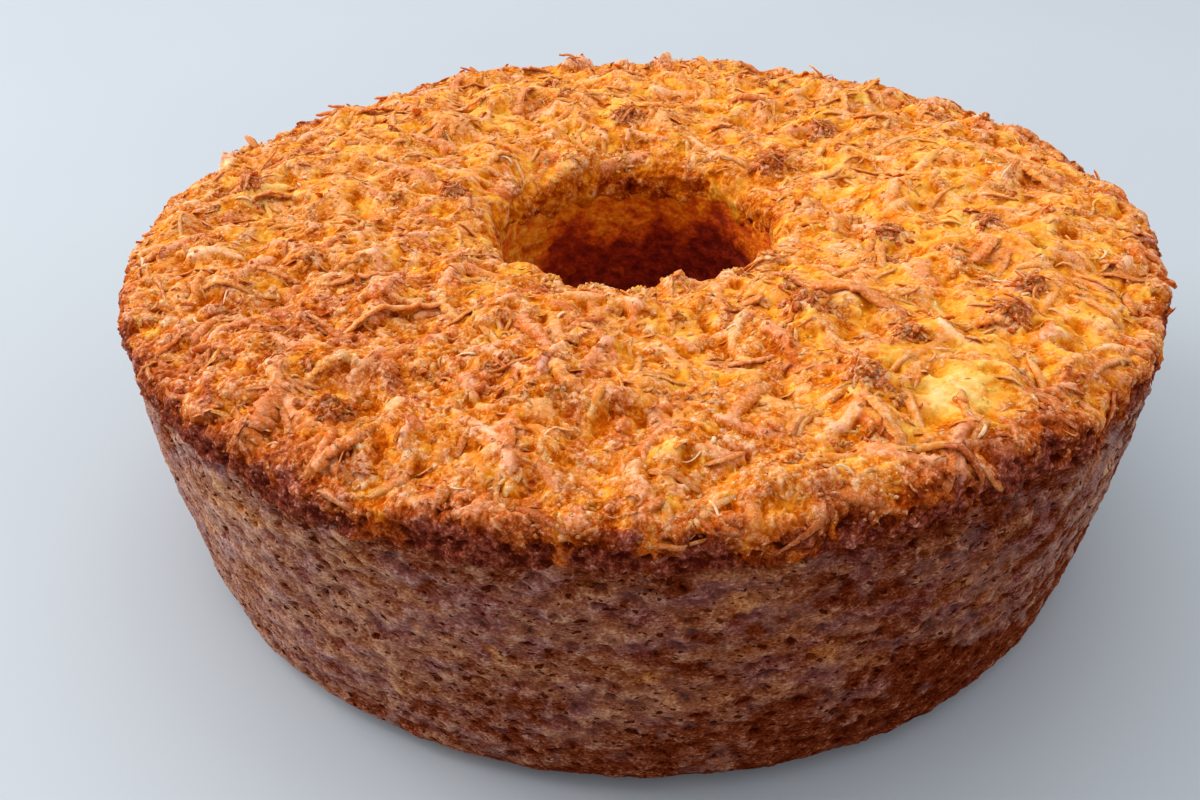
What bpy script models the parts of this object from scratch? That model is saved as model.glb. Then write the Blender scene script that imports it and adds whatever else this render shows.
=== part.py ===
"""A ring-shaped cassava cake, baked in a tube tin and standing as it was baked, craggy crust up.

Metres, +Z up. The origin is the centre of the flat base. The cake is one solid: a turned ring whose
side tapers to the base, with an uneven top, a jagged rim, a hole with a rounded lip, and the longest
cassava shreds and toasted clumps of the crust fused on.
"""
import math
import random

import bmesh
import bpy
from mathutils import Matrix, Vector, noise

# Driving dimensions of the cake, as a 24 cm tube tin gives them
RIM_RADIUS = 0.120
BASE_RADIUS = 0.1135
RIM_HEIGHT = 0.070
HOLE_TOP_RADIUS = 0.0340  # the tin's tube is narrower at its top
HOLE_BASE_RADIUS = 0.0365
BASE_EDGE_RADIUS = 0.007
HOLE_EDGE_RADIUS = 0.004
RIM_ROUNDING = 0.0035
LIP_ROUNDING = 0.006
CROWN_RISE = 0.0035  # how far the crust rises between the rim and the hole
HOLE_DIP = 0.0020  # how much lower the crust is at the hole than at the rim
RIM_LEAN = 0.0018  # the cake stands this much higher at +X than at its middle

# Unevenness: each row is (height of the relief, distance from bump to bump)
TOP_RELIEF = ((0.0030, 0.034), (0.0032, 0.0115))
SIDE_RELIEF = ((0.0010, 0.040), (0.0006, 0.012))
RIM_RELIEF = ((0.0022, 0.017),)
CRAG_JITTER = 0.0011  # how far a point of the crust strays sideways
EDGE_FADE = 0.012  # the relief of the top settles over this width next to the rim
EDGE_SHARE = 0.45  # and this share of it is left at the rim

# Mesh: points around the ring, and rows along each stretch of the outline
AROUND = 92
SIDE_ROWS = 4
TOP_ROWS = 14
HOLE_ROWS = 4
BASE_EDGE_ROWS = 3
RIM_ROWS = 3
LIP_ROWS = 3
HOLE_EDGE_ROWS = 2

# The shreds that show most in the crust. Each row is (distance from the axis, bearing in degrees,
# heading in degrees, length, width, rise of its middle).
LONG_SHREDS = (
    (0.0663, -51, -33, 0.0280, 0.0030, 0.0032),
    (0.0743, -130, 29, 0.0240, 0.0026, 0.0034),
    (0.0700, -146, 24, 0.0230, 0.0024, 0.0022),
    (0.0965, 15, -54, 0.0230, 0.0026, 0.0024),
    (0.0905, -78, 61, 0.0210, 0.0028, 0.0020),
    (0.0698, -106, -63, 0.0200, 0.0030, 0.0024),
    (0.0803, 115, 74, 0.0200, 0.0034, 0.0032),
    (0.0849, 2, 34, 0.0175, 0.0024, 0.0020),
    (0.0898, -143, -37, 0.0175, 0.0026, 0.0016),
    (0.0877, -155, -24, 0.0155, 0.0024, 0.0018),
    (0.0960, -51, -12, 0.0150, 0.0024, 0.0016),
    (0.1048, -139, -33, 0.0135, 0.0040, 0.0016),
    (0.1080, -126, 70, 0.0130, 0.0050, 0.0016),
)
# The toasted clumps that show most: (distance from the axis, bearing in degrees, radius)
CLUMPS = (
    (0.0593, -19, 0.0042),
    (0.0924, -31, 0.0034),
    (0.0935, -40, 0.0038),
    (0.0924, -64, 0.0036),
    (0.0846, -53, 0.0026),
    (0.0650, -59, 0.0034),
    (0.0805, -11, 0.0030),
    (0.0705, 43, 0.0032),
    (0.0440, 37, 0.0026),
    (0.0573, 94, 0.0036),
    (0.0460, 172, 0.0032),
    (0.0968, 176, 0.0030),
    (0.1040, -120, 0.0032),
)
SHORT_SHREDS = 30
SHORT_LENGTHS = (0.018, 0.009)  # from the first that is laid to the last
SHORT_WIDTHS = (0.0021, 0.0031)
SHORT_RISES = (0.0016, 0.0030)
SHRED_SIDES = 5
SHRED_ROWS = 6
SHRED_FLATNESS = 0.72  # thickness over width
SHRED_TIP = 0.5  # width of a shred's end, as a share of its middle's
SHRED_SINK = 0.0010  # how far a shred's middle line lies under the crust at its ends
SHRED_BEND = 0.55  # most radians that a shred turns along its length, either way
CLUMP_ROUGHNESS = (0.75, 1.15)  # how far its points lie from its middle, over its radius
CLUMP_FLATNESS = 0.8
CLUMP_RAISE = 0.15  # how far its middle stands above the crust, over its radius
PLACE_JITTER = 0.2  # radians that a place may stray round the axis
CRUST_SEED = 7
SHRED_SEED = 11

GOLDEN_ANGLE = math.pi * (3 - math.sqrt(5))
SHARP_ANGLE = math.radians(50)  # edges that turn more than this stay sharp


def clear_scene():
    for scene_object in list(bpy.data.objects):
        bpy.data.objects.remove(scene_object)


def relief(rows, point):
    """The sum of smooth noise at this point, one octave for each row."""
    return sum(height * noise.noise(point / spacing) for height, spacing in rows)


def crown(radius):
    """Height of the smooth top at this distance from the axis."""
    share = (radius - HOLE_TOP_RADIUS) / (RIM_RADIUS - HOLE_TOP_RADIUS)
    return RIM_HEIGHT + CROWN_RISE * 4 * share * (1 - share) - HOLE_DIP * (1 - share) ** 2


def top_surface(x, y):
    """Height of the uneven crust over a point of the base."""
    radius = math.hypot(x, y)
    settled = min(1, max(0, (RIM_RADIUS - radius) / EDGE_FADE))
    uneven = relief(TOP_RELIEF, Vector((x, y, 0)))
    share = EDGE_SHARE + (1 - EDGE_SHARE) * settled
    return crown(radius) + RIM_LEAN * x / RIM_RADIUS + uneven * share


def arc(centre, rounding, start, end, rows):
    """Points of a rounded corner of the section, from one angle in degrees to another."""
    angles = [math.radians(start + (end - start) * row / rows) for row in range(rows + 1)]
    return [(centre[0] + rounding * math.cos(a), centre[1] + rounding * math.sin(a)) for a in angles]


def straight(start, end, rows):
    """Points between two ends of a straight stretch, without the ends."""
    shares = [row / rows for row in range(1, rows)]
    return [
        (start[0] + (end[0] - start[0]) * share, start[1] + (end[1] - start[1]) * share)
        for share in shares
    ]


def section():
    """The ring's section as (radius, height, kind), once round from the outer edge of the base.

    The height of a top point counts for nothing, as the uneven crust gives it one.
    """
    base_centre = (BASE_RADIUS - BASE_EDGE_RADIUS, BASE_EDGE_RADIUS)
    rim_centre = (RIM_RADIUS - RIM_ROUNDING, RIM_HEIGHT - RIM_ROUNDING)
    lip_centre = (HOLE_TOP_RADIUS + LIP_ROUNDING, RIM_HEIGHT - HOLE_DIP - LIP_ROUNDING)
    hole_centre = (HOLE_BASE_RADIUS + HOLE_EDGE_RADIUS, HOLE_EDGE_RADIUS)
    base_corner = arc(base_centre, BASE_EDGE_RADIUS, -90, -5, BASE_EDGE_ROWS)
    rim_corner = arc(rim_centre, RIM_ROUNDING, -55, 80, RIM_ROWS)  # the rim hangs over the side
    lip_corner = arc(lip_centre, LIP_ROUNDING, 95, 178, LIP_ROWS)
    hole_corner = arc(hole_centre, HOLE_EDGE_RADIUS, 185, 270, HOLE_EDGE_ROWS)
    stretches = (
        ("base", base_corner[:1]),
        ("side", base_corner[1:] + straight(base_corner[-1], rim_corner[0], SIDE_ROWS)),
        ("rim", rim_corner),
        ("top", straight(rim_corner[-1], lip_corner[0], TOP_ROWS)),
        ("rim", lip_corner),
        ("side", straight(lip_corner[-1], hole_corner[0], HOLE_ROWS) + hole_corner[:-1]),
        ("base", hole_corner[-1:]),
    )
    return [(radius, height, kind) for kind, points in stretches for radius, height in points]


def placed(radius, height, kind, angle, draw):
    """Where a point of the section lies on the uneven cake, at this angle round the axis."""
    if kind == "base":
        return Vector((radius * math.cos(angle), radius * math.sin(angle), height))
    outward = Vector((math.cos(angle), math.sin(angle), 0))
    point = outward * radius
    if kind == "side":
        uneven = relief(SIDE_RELIEF, point + Vector((0, 0, height)))
        return point + outward * uneven + Vector((0, 0, height))
    stray = Vector((draw.uniform(-1, 1), draw.uniform(-1, 1), 0)) * CRAG_JITTER
    point += stray if kind == "top" else stray * 0.5
    if kind == "rim":
        point += outward * relief(RIM_RELIEF, point)
        sunk = crown(radius) - height
        return Vector((point.x, point.y, top_surface(point.x, point.y) - sunk))
    return Vector((point.x, point.y, top_surface(point.x, point.y)))


def ring_body(draw):
    """The turned ring, as a closed mesh object with no shreds on it."""
    shape = bmesh.new()
    rings = []
    angles = [2 * math.pi * step / AROUND for step in range(AROUND)]
    for radius, height, kind in section():
        rings.append([shape.verts.new(placed(radius, height, kind, a, draw)) for a in angles])
    for lower, upper in zip(rings, rings[1:] + rings[:1]):
        for step in range(AROUND):
            after = (step + 1) % AROUND
            shape.faces.new((lower[step], lower[after], upper[after], upper[step]))
    bmesh.ops.recalc_face_normals(shape, faces=shape.faces)
    bmesh.ops.triangulate(shape, faces=shape.faces)
    return object_of(shape, "cake")


def shred_path(radius, bearing, heading, length, rise, bend):
    """The middle line of a shred that lies on the crust, its middle arched up."""
    x = radius * math.cos(bearing)
    y = radius * math.sin(bearing)
    path = []
    for row in range(SHRED_ROWS):
        along = row / (SHRED_ROWS - 1) - 0.5
        turned = heading + bend * along
        point_x = x + length * along * math.cos(turned)
        point_y = y + length * along * math.sin(turned)
        arched = rise * math.cos(math.pi * along) - SHRED_SINK
        path.append(Vector((point_x, point_y, top_surface(point_x, point_y) + arched)))
    return path


def shred(name, path, width):
    """A closed strand round the path, flatter than it is wide, thin at both ends."""
    shape = bmesh.new()
    rings = []
    for row, centre in enumerate(path):
        before = path[max(row - 1, 0)]
        after = path[min(row + 1, len(path) - 1)]
        forward = (after - before).normalized()
        across = forward.cross(Vector((0, 0, 1))).normalized()
        upward = across.cross(forward)
        half_width = width / 2 * (SHRED_TIP if row in (0, len(path) - 1) else 1)
        ring = []
        for side in range(SHRED_SIDES):
            angle = 2 * math.pi * side / SHRED_SIDES
            offset = across * math.cos(angle) + upward * math.sin(angle) * SHRED_FLATNESS
            ring.append(shape.verts.new(centre + offset * half_width))
        rings.append(ring)
    for lower, upper in zip(rings, rings[1:]):
        for side in range(SHRED_SIDES):
            after_side = (side + 1) % SHRED_SIDES
            shape.faces.new((lower[side], lower[after_side], upper[after_side], upper[side]))
    shape.faces.new(rings[0])
    shape.faces.new(rings[-1])
    bmesh.ops.recalc_face_normals(shape, faces=shape.faces)
    bmesh.ops.triangulate(shape, faces=shape.faces)
    return object_of(shape, name)


def clump(name, radius, bearing, size, draw):
    """A rough lump of toasted crumbs, its lower half sunk into the crust."""
    x = radius * math.cos(bearing)
    y = radius * math.sin(bearing)
    shape = bmesh.new()
    bmesh.ops.create_icosphere(shape, subdivisions=2, radius=size)
    for vertex in shape.verts:
        vertex.co *= draw.uniform(*CLUMP_ROUGHNESS)
        vertex.co.z *= CLUMP_FLATNESS
    place = Matrix.Translation((x, y, top_surface(x, y) + size * CLUMP_RAISE))
    bmesh.ops.transform(shape, matrix=place, verts=shape.verts)
    return object_of(shape, name)


def object_of(shape, name):
    mesh = bpy.data.meshes.new(name)
    shape.to_mesh(mesh)
    shape.free()
    return bpy.data.objects.new(name, mesh)


def spread_places(count, draw):
    """Places spread evenly over the crust, as (distance from the axis, bearing)."""
    inner = HOLE_TOP_RADIUS + LIP_ROUNDING
    outer = RIM_RADIUS - RIM_ROUNDING * 2
    places = []
    for step in range(count):
        share = (step + 0.5) / count
        radius = math.sqrt(inner**2 + share * (outer**2 - inner**2))
        stray = draw.uniform(-PLACE_JITTER, PLACE_JITTER)
        places.append((radius, step * GOLDEN_ANGLE + stray))
    return places


def long_shreds(draw):
    pieces = []
    for step, (radius, bearing, heading, length, width, rise) in enumerate(LONG_SHREDS):
        bend = draw.uniform(-SHRED_BEND, SHRED_BEND)
        angles = (math.radians(bearing), math.radians(heading))
        path = shred_path(radius, *angles, length, rise, bend)
        pieces.append(shred(f"long_shred_{step}", path, width))
    return pieces


def short_shreds(draw):
    places = spread_places(SHORT_SHREDS, draw)
    draw.shuffle(places)
    pieces = []
    for step, (radius, bearing) in enumerate(places):
        share = step / (SHORT_SHREDS - 1)
        length = SHORT_LENGTHS[0] + share * (SHORT_LENGTHS[1] - SHORT_LENGTHS[0])
        heading = draw.uniform(0, math.pi)
        bend = draw.uniform(-SHRED_BEND, SHRED_BEND)
        path = shred_path(radius, bearing, heading, length, draw.uniform(*SHORT_RISES), bend)
        pieces.append(shred(f"short_shred_{step}", path, draw.uniform(*SHORT_WIDTHS)))
    return pieces


def clumps(draw):
    return [
        clump(f"clump_{step}", radius, math.radians(bearing), size, draw)
        for step, (radius, bearing, size) in enumerate(CLUMPS)
    ]


def fuse(body, pieces):
    """Joins the shreds and clumps to the body as one solid, and removes them."""
    joined = bpy.data.collections.new("crust_pieces")
    bpy.context.scene.collection.children.link(joined)
    for piece in pieces:
        joined.objects.link(piece)
    union = body.modifiers.new("union", "BOOLEAN")
    union.operation = "UNION"
    union.operand_type = "COLLECTION"
    union.collection = joined
    union.solver = "EXACT"
    bpy.context.view_layer.update()
    evaluated = body.evaluated_get(bpy.context.evaluated_depsgraph_get())
    body.data = bpy.data.meshes.new_from_object(evaluated)
    body.modifiers.clear()
    for piece in pieces:
        bpy.data.objects.remove(piece)
    bpy.data.collections.remove(joined)


def baked_crust():
    """Golden brown, dull baked crumb."""
    material = bpy.data.materials.new("baked_crust")
    material.use_nodes = True
    shader = material.node_tree.nodes["Principled BSDF"]
    shader.inputs["Base Color"].default_value = (0.52, 0.21, 0.055, 1)
    shader.inputs["Roughness"].default_value = 0.62
    shader.inputs["Metallic"].default_value = 0
    return material


def main():
    clear_scene()
    cake = ring_body(random.Random(CRUST_SEED))
    bpy.context.scene.collection.objects.link(cake)
    draw = random.Random(SHRED_SEED)
    fuse(cake, long_shreds(draw) + short_shreds(draw) + clumps(draw))
    cake.data.name = "cake"
    cake.data.materials.clear()
    cake.data.materials.append(baked_crust())
    cake.data.shade_smooth()
    cake.data.set_sharp_from_angle(angle=SHARP_ANGLE)


main()
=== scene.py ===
"""The looks of a ring-shaped cassava cake: a matted crust of toasted shreds over an oily brown side.

Metres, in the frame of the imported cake. The crust, the side and the hole repeat the named sizes and
the relief of the cake's solid, and carry finer relief, shreds, flakes, crumbs and toasted clumps.
"""

import math
import random

import bpy
import numpy as np
from mathutils import Matrix, Vector, noise


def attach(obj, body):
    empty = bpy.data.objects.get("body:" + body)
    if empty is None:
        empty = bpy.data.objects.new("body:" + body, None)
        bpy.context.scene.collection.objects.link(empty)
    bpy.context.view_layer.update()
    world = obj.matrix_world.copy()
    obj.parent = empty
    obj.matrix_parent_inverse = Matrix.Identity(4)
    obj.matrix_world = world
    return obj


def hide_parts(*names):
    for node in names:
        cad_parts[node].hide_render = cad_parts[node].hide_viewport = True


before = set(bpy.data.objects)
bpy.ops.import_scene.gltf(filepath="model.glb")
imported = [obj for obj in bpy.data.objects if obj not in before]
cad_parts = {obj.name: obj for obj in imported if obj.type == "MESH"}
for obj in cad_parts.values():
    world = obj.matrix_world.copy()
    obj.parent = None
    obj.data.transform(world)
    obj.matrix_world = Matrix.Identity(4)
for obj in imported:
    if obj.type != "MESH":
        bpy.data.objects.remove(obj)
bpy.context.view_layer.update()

# The cake's sizes, as its solid has them
RIM_RADIUS = 0.120
BASE_RADIUS = 0.1135
RIM_HEIGHT = 0.070
HOLE_TOP_RADIUS = 0.0340
HOLE_BASE_RADIUS = 0.0365
BASE_EDGE_RADIUS = 0.007
HOLE_EDGE_RADIUS = 0.004
RIM_ROUNDING = 0.0035
LIP_ROUNDING = 0.006
CROWN_RISE = 0.0035
HOLE_DIP = 0.0020
RIM_LEAN = 0.0018
RIM_UNDER = -55  # degrees round the rim's corner at which the side begins
TOP_ROW = 0.0055  # from a rounded corner to where the top has its full height
TOP_RELIEF = ((0.0030, 0.034), (0.0032, 0.0115))
SIDE_RELIEF = ((0.0010, 0.040), (0.0006, 0.012))
RIM_RELIEF = ((0.0022, 0.017),)
EDGE_FADE = 0.012
EDGE_SHARE = 0.45

# The shreds that show most, as in the solid: (distance from the axis, bearing, heading, length,
# width, rise of its middle), and how toasted each is
LONG_SHREDS = (
    (0.0663, -51, -33, 0.0280, 0.0030, 0.0032, 0.26),
    (0.0743, -130, 29, 0.0240, 0.0026, 0.0034, 0.14),
    (0.0700, -146, 24, 0.0230, 0.0024, 0.0022, 0.20),
    (0.0965, 15, -54, 0.0230, 0.0026, 0.0024, 0.12),
    (0.0905, -78, 61, 0.0210, 0.0028, 0.0020, 0.22),
    (0.0698, -106, -63, 0.0200, 0.0030, 0.0024, 0.34),
    (0.0803, 115, 74, 0.0200, 0.0034, 0.0032, 0.26),
    (0.0849, 2, 34, 0.0175, 0.0024, 0.0020, 0.12),
    (0.0898, -143, -37, 0.0175, 0.0026, 0.0016, 0.62),
    (0.0877, -155, -24, 0.0155, 0.0024, 0.0018, 0.22),
    (0.0960, -51, -12, 0.0150, 0.0024, 0.0016, 0.06),
    (0.1048, -139, -33, 0.0135, 0.0040, 0.0016, 0.40),
    (0.1080, -126, 70, 0.0130, 0.0050, 0.0016, 0.36),
)
# The toasted clumps: (distance from the axis, bearing, radius)
CLUMPS = (
    (0.0593, -19, 0.0042), (0.0924, -31, 0.0034), (0.0935, -40, 0.0038), (0.0924, -64, 0.0036),
    (0.0846, -53, 0.0026), (0.0650, -59, 0.0034), (0.0805, -11, 0.0030), (0.0705, 43, 0.0032),
    (0.0440, 37, 0.0026), (0.0573, 94, 0.0036), (0.0460, 172, 0.0032), (0.0968, 176, 0.0030),
    (0.1040, -120, 0.0032),
)
SHORT_SHREDS = 30
SHORT_LENGTHS = (0.018, 0.009)
SHORT_WIDTHS = (0.0021, 0.0031)
SHORT_RISES = (0.0016, 0.0030)
SHRED_SINK = 0.0010
SHRED_BEND = 0.55
SHRED_BEDDED = 0.0004  # how much deeper the crumbs let a shred's middle lie
PLACE_JITTER = 0.2
SHRED_SEED = 11
GOLDEN_ANGLE = math.pi * (3 - math.sqrt(5))

# Paler lumps that stand on the lip of the hole, in the same measures
LIP_LUMPS = (
    (0.0380, -119, 0.0026), (0.0384, -103, 0.0034), (0.0380, -90, 0.0026), (0.0382, -76, 0.0036),
    (0.0380, -57, 0.0030), (0.0386, -38, 0.0034), (0.0380, 118, 0.0040), (0.0382, 96, 0.0026),
    (0.0380, 62, 0.0034), (0.0382, 150, 0.0034), (0.0380, -155, 0.0030),
)

# Moist, pale lumps of unmixed cassava
PALE_LUMPS = ((0.1010, -57, 0.0062), (0.0790, -14, 0.0046))

# Crags that break the crust's outline along its far edge: how many, and between which distances
# from the axis, bearings and radii
FAR_CRAGS = (20, (0.1040, 0.1140), (12, 168), (0.0024, 0.0042))

# Where the crust is more or less toasted: ((x, y), reach, amount)
TOAST_SPOTS = (
    ((-0.070, -0.066), 0.034, 0.27), ((-0.015, -0.082), 0.034, 0.14), ((-0.050, 0.058), 0.032, -0.13),
    ((0.000, -0.047), 0.020, -0.08), ((0.066, -0.050), 0.032, -0.13), ((0.055, -0.086), 0.012, -0.44),
    ((0.000, -0.070), 0.012, -0.16), ((0.032, 0.036), 0.014, 0.02), ((0.070, 0.008), 0.016, -0.14),
    ((0.080, 0.000), 0.045, -0.05), ((-0.088, 0.012), 0.016, -0.12), ((-0.012, 0.068), 0.030, -0.06),
    ((0.040, 0.070), 0.036, -0.12), ((0.067, -0.098), 0.010, 0.20),
)

# Where the crust's colour runs down over the rim: (bearing, reach in degrees, how far down)
RIM_RUNS = (
    (-120, 11.0, -0.0012), (-104, 6.0, -0.0008), (-95, 1.5, 0.0034), (-90, 8.0, -0.0008),
    (-82, 1.9, 0.0058), (-61, 9.0, -0.0026), (-39, 8.0, 0.0014), (-20, 9.0, -0.0006),
    (-172, 20.0, 0.0012), (160, 5.0, 0.0030), (40, 4.0, 0.0030),
)
# The browning under that edge, and down the hole, where it is partly painted shade; and the painted shade
# that deepens the colour under the rim and down the hole: (how much, heights it runs between)
RIM_BROWNS = ((0.50, 0.0714, 0.0664), (0.34, 0.0676, 0.0630))
HOLE_BROWN_AND_SHADE = (0.24, 0.0610, 0.0540)
RIM_PAINTED_SHADE = (0.24, 0.0700, 0.0658)
HOLE_PAINTED_SHADE = (0.12, 0.0640, 0.0560)
STEEP_BROWNS = (0.08, 0.04)  # how much browner the steep rim and lip are
# painted shade on the steep lip, down into the hole
LIP_PAINTED_SHADE = 0.26

# Mounds under the clumps and lumps: (places, how steep, how much more toasted)
MOUNDS = ((CLUMPS, 0.80, 0.28), (LIP_LUMPS, 0.60, -0.10), (PALE_LUMPS, 0.22, -0.22))
FAR_STEEP, FAR_TOAST = 0.60, 0.08

# Waves of the crust's ground and of its toast: (how much, how far apart their bumps are)
GROUND_WAVES = ((0.00045, 0.0090), (0.00020, 0.0046))
CRUMB_RELIEF, GAP_DEPTH, HOLLOW_DEPTH = 0.00012, 0.0007, 0.0011
TOAST_LEVEL = 0.01
TOAST_WAVES = ((0.05, 0.030), (0.10, 0.012), (0.10, 0.0055))
RIM_TOAST = 0.14

# Maps of the crust's fine relief, seen from above, and of the walls', unrolled
MAP_HALF = 0.1275
MAP_CELL = 0.0003
SOLID_CELL = 0.0015
WALL_CELL = 0.0004
WALL_LENGTH = 0.080
SECTION_STEP = 0.0004

# Embedded shreds: (how many, lengths, widths, how high they stand, their toast and its spread)
MATTED_SHREDS = (
    (190, (0.009, 0.022), (0.0020, 0.0032), (0.0000, 0.0007), 0.03, 0.10),
    (900, (0.004, 0.010), (0.0012, 0.0022), (-0.0003, 0.0003), 0.02, 0.09),
)
# The same for the shreds and chips that lie over the flakes
TOP_SHREDS = (
    (340, (0.007, 0.017), (0.0015, 0.0026), (-0.0001, 0.0006), 0.20, 0.10),
    (90, (0.004, 0.008), (0.0026, 0.0042), (-0.0003, 0.0003), 0.12, 0.09),
    (800, (0.003, 0.007), (0.0010, 0.0018), (-0.0003, 0.0003), 0.04, 0.09),
)
# Embedded flakes: (how many, least half length, map cells to their ends at most, how narrow, tilt,
# how high they stand, how rounded, spread of their toast and of their light)
MATTED_FLAKES = (
    (9000, 0.0010, 9, (0.22, 0.50), 0.20, (-0.0002, 0.0004), 0.30, 0.12, 0.09),
    (62000, 0.0005, 4, (0.35, 0.95), 0.40, (-0.00025, 0.0003), 0.0, 0.06, 0.09),
)

# Mesh spacing, and how the walls and the crust meet
CRUST_SPACING = 0.00053
CRUST_SEAM = 0.0920  # the crust is meshed in two rings that overlap a little here
SEAM_LAP = 0.0012
SIDE_SPACING = 0.0009
HOLE_SPACING = 0.0010
HIDDEN_SPACING = 0.009
LIFTED = (0.045, 0.064)  # heights between which the walls take on the crust's unevenness
RIM_GAIN = 1.0  # how much more their fine relief stands out there, at the rim and at the lip
LIP_GAIN = 0.2
WALL_OUT = 0.385  # how far out of the recesses the walls' colour lies
# painted light: the walls' colour is paler where they face this way, to the left, towards the window
PAINTED_LIGHT_BEARING, WALL_PAINTED_LIGHT = -150, 0.26  # how much further, where they face this way
# painted sheen: paler again in a band on the right
PAINTED_SHEEN_BEARING, PAINTED_SHEEN = -33, 0.22  # and in a band that faces this way
PAINTED_SHADE_BEARING = -40  # painted shade: the side is darkest where it faces this way, away from the light
# painted light: the orange reaches deeper into the hole where light falls on its wall
PAINTED_HOLE_LIGHT = (150, 26, 0.007)  # the orange reaches deeper into the hole here: bearing, degrees, depth
RIM_TUCK = 0.0015  # how far the crumbly rim lies within the smooth one
SIDE_SWELL = 0.0008
OVERLAP_LIFT = 0.00015  # the crust's foot lies this far over the wall until it dips under it
OVERLAP_SINK = 0.0018  # how deep it dips, and how much deeper its last row of points
EDGE_SINK = 0.0015
CRUST_FOOT, CRUST_HOLE_FOOT = 0.0590, 0.0540
SIDE_BORDER, HOLE_BORDER = 0.0614, 0.0580  # where it dips under the side and the hole's wall
SIDE_TOP = 0.0662
HOLE_WALL_ENDS = (0.0610, 0.0040)
TAN_HEIGHT, TAN_REACH = 0.017, 0.012  # the side's palest patches

# The closed undersides of the crust's rings, and the hidden walls of the side and the hole
OUTER_UNDER = ((0.0840, 0.0605), (0.0960, 0.0605), (0.1080, 0.0600))
INNER_UNDER = ((0.0400, 0.0560), (0.0520, 0.0600), (0.0700, 0.0605), (0.0820, 0.0605))
SIDE_LID = ((0.1120, 0.0630), (0.0950, 0.0590), (0.0700, 0.0590), (0.0500, 0.0540), (0.0440, 0.0300))
SIDE_FLOOR = ((0.0550, 0.0), (0.0750, 0.0), (0.0930, 0.0))
HOLE_BACK = ((0.0400, 0.0050), (0.0400, 0.0300), (0.0400, 0.0560))

# How many small pieces lie on the crust, and their sizes
SHREDS, SHRED_WIDTHS, SHRED_LENGTHS = 800, (0.0012, 0.0024), (0.006, 0.014)
CURLS, CURL_WIDTHS, CURL_LENGTHS = 1200, (0.00035, 0.0009), (0.0016, 0.0048)
FIBRES = 80
FLAKES, FLAKE_LENGTHS = 1300, (0.0012, 0.0034)
CRUMBS, CRUMB_SIZES = 7000, (0.00020, 0.00052)
SMALL_CLUMPS, SMALL_CLUMP_SIZES = 60, (0.0014, 0.0026)
CLUMP_GRAINS = (0.00028, 0.00070)
# The grains of the clumps, of the small ones and of the lip's: (how many, least and most toast,
# how coarse)
CLUMP_KINDS = ((95, 0.30, 0.62, 1.10), (34, 0.16, 0.42, 0.95), (50, -0.22, 0.06, 0.8))
# How far the clumps' grains are moved towards the recesses' colours: painted shade among them
CLUMP_PAINTED_SHADE = 0.82
KNOT_SHREDS, KNOT_WIDTHS, KNOT_LENGTHS = 9, (0.0006, 0.0013), (0.003, 0.0065)
UP = np.array([0.0, 0.0, 1.0])

# Colours from the recesses, 0, to the tips, 1, as a screen shows them, after their places. The out values
# that pick them paint shade into the recesses and light onto the tips
FIVE = (0.0, 0.25, 0.5, 0.75, 1.0)
FOUR = (0.0, 0.35, 0.65, 1.0)
LATER_FOUR = (0.0, 0.4, 0.7, 1.0)
THREE = (0.0, 0.5, 1.0)
TWO = (0.3, 0.7)
BODY = (FIVE, (180, 72, 0), (208, 104, 4), (226, 138, 52), (241, 170, 108), (254, 203, 159))
MOIST = (FIVE, (200, 96, 0), (225, 134, 18), (239, 163, 60), (248, 188, 101), (254, 212, 146))
PALE = (FIVE, (206, 122, 12), (224, 155, 48), (233, 180, 88), (240, 199, 122), (246, 212, 150))
BROWN = (FIVE, (142, 42, 0), (180, 74, 5), (205, 107, 42), (226, 143, 90), (247, 182, 141))
BURNT = (LATER_FOUR, (82, 18, 0), (144, 55, 12), (187, 97, 48), (226, 152, 110))
RIM = (FOUR, (80, 20, 8), (132, 54, 33), (169, 91, 70), (218, 159, 138))
SIDE_TAN = (FOUR, (118, 44, 2), (172, 88, 28), (206, 132, 72), (238, 188, 130))
SIDE_BROWN = (FOUR, (74, 18, 0), (128, 55, 15), (163, 89, 45), (216, 153, 108))
SIDE_PURPLE = (FOUR, (68, 12, 4), (113, 41, 28), (145, 75, 59), (202, 146, 132))
SIDE_DARK = (FOUR, (54, 10, 0), (98, 32, 10), (132, 60, 32), (190, 126, 98))
# painted shade in the side's pores
SIDE_PITS_PAINTED_SHADE = (TWO, (44, 4, 0), (96, 24, 2))
# The hole's colours darken downwards as painted shade of the deep hole
HOLE_UPPER = (THREE, (218, 86, 0), (250, 140, 8), (255, 190, 70))
HOLE_MIDDLE = (THREE, (172, 52, 0), (230, 93, 0), (252, 148, 36))
HOLE_LOWER = (THREE, (116, 20, 0), (162, 42, 0), (196, 70, 10))
FLOOR = (TWO, (176, 184, 192), (180, 188, 196))
# What the body's colour turns into as it is less or more toasted: (toast where it begins, and where
# it has turned, colours)
CRUST_LAYERS = (
    (-0.02, -0.26, MOIST), (-0.28, -0.50, PALE), (0.12, 0.40, BROWN), (0.46, 0.80, BURNT), (0.84, 1.10, RIM)
)
# On the side and in the hole the toast also carries painted shade, which their darker layers show
HOLE_LAYERS = ((0.10, 0.42, HOLE_MIDDLE), (0.42, 0.80, HOLE_LOWER))
SIDE_LAYERS = ((0.52, 0.84, SIDE_DARK),)

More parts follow.
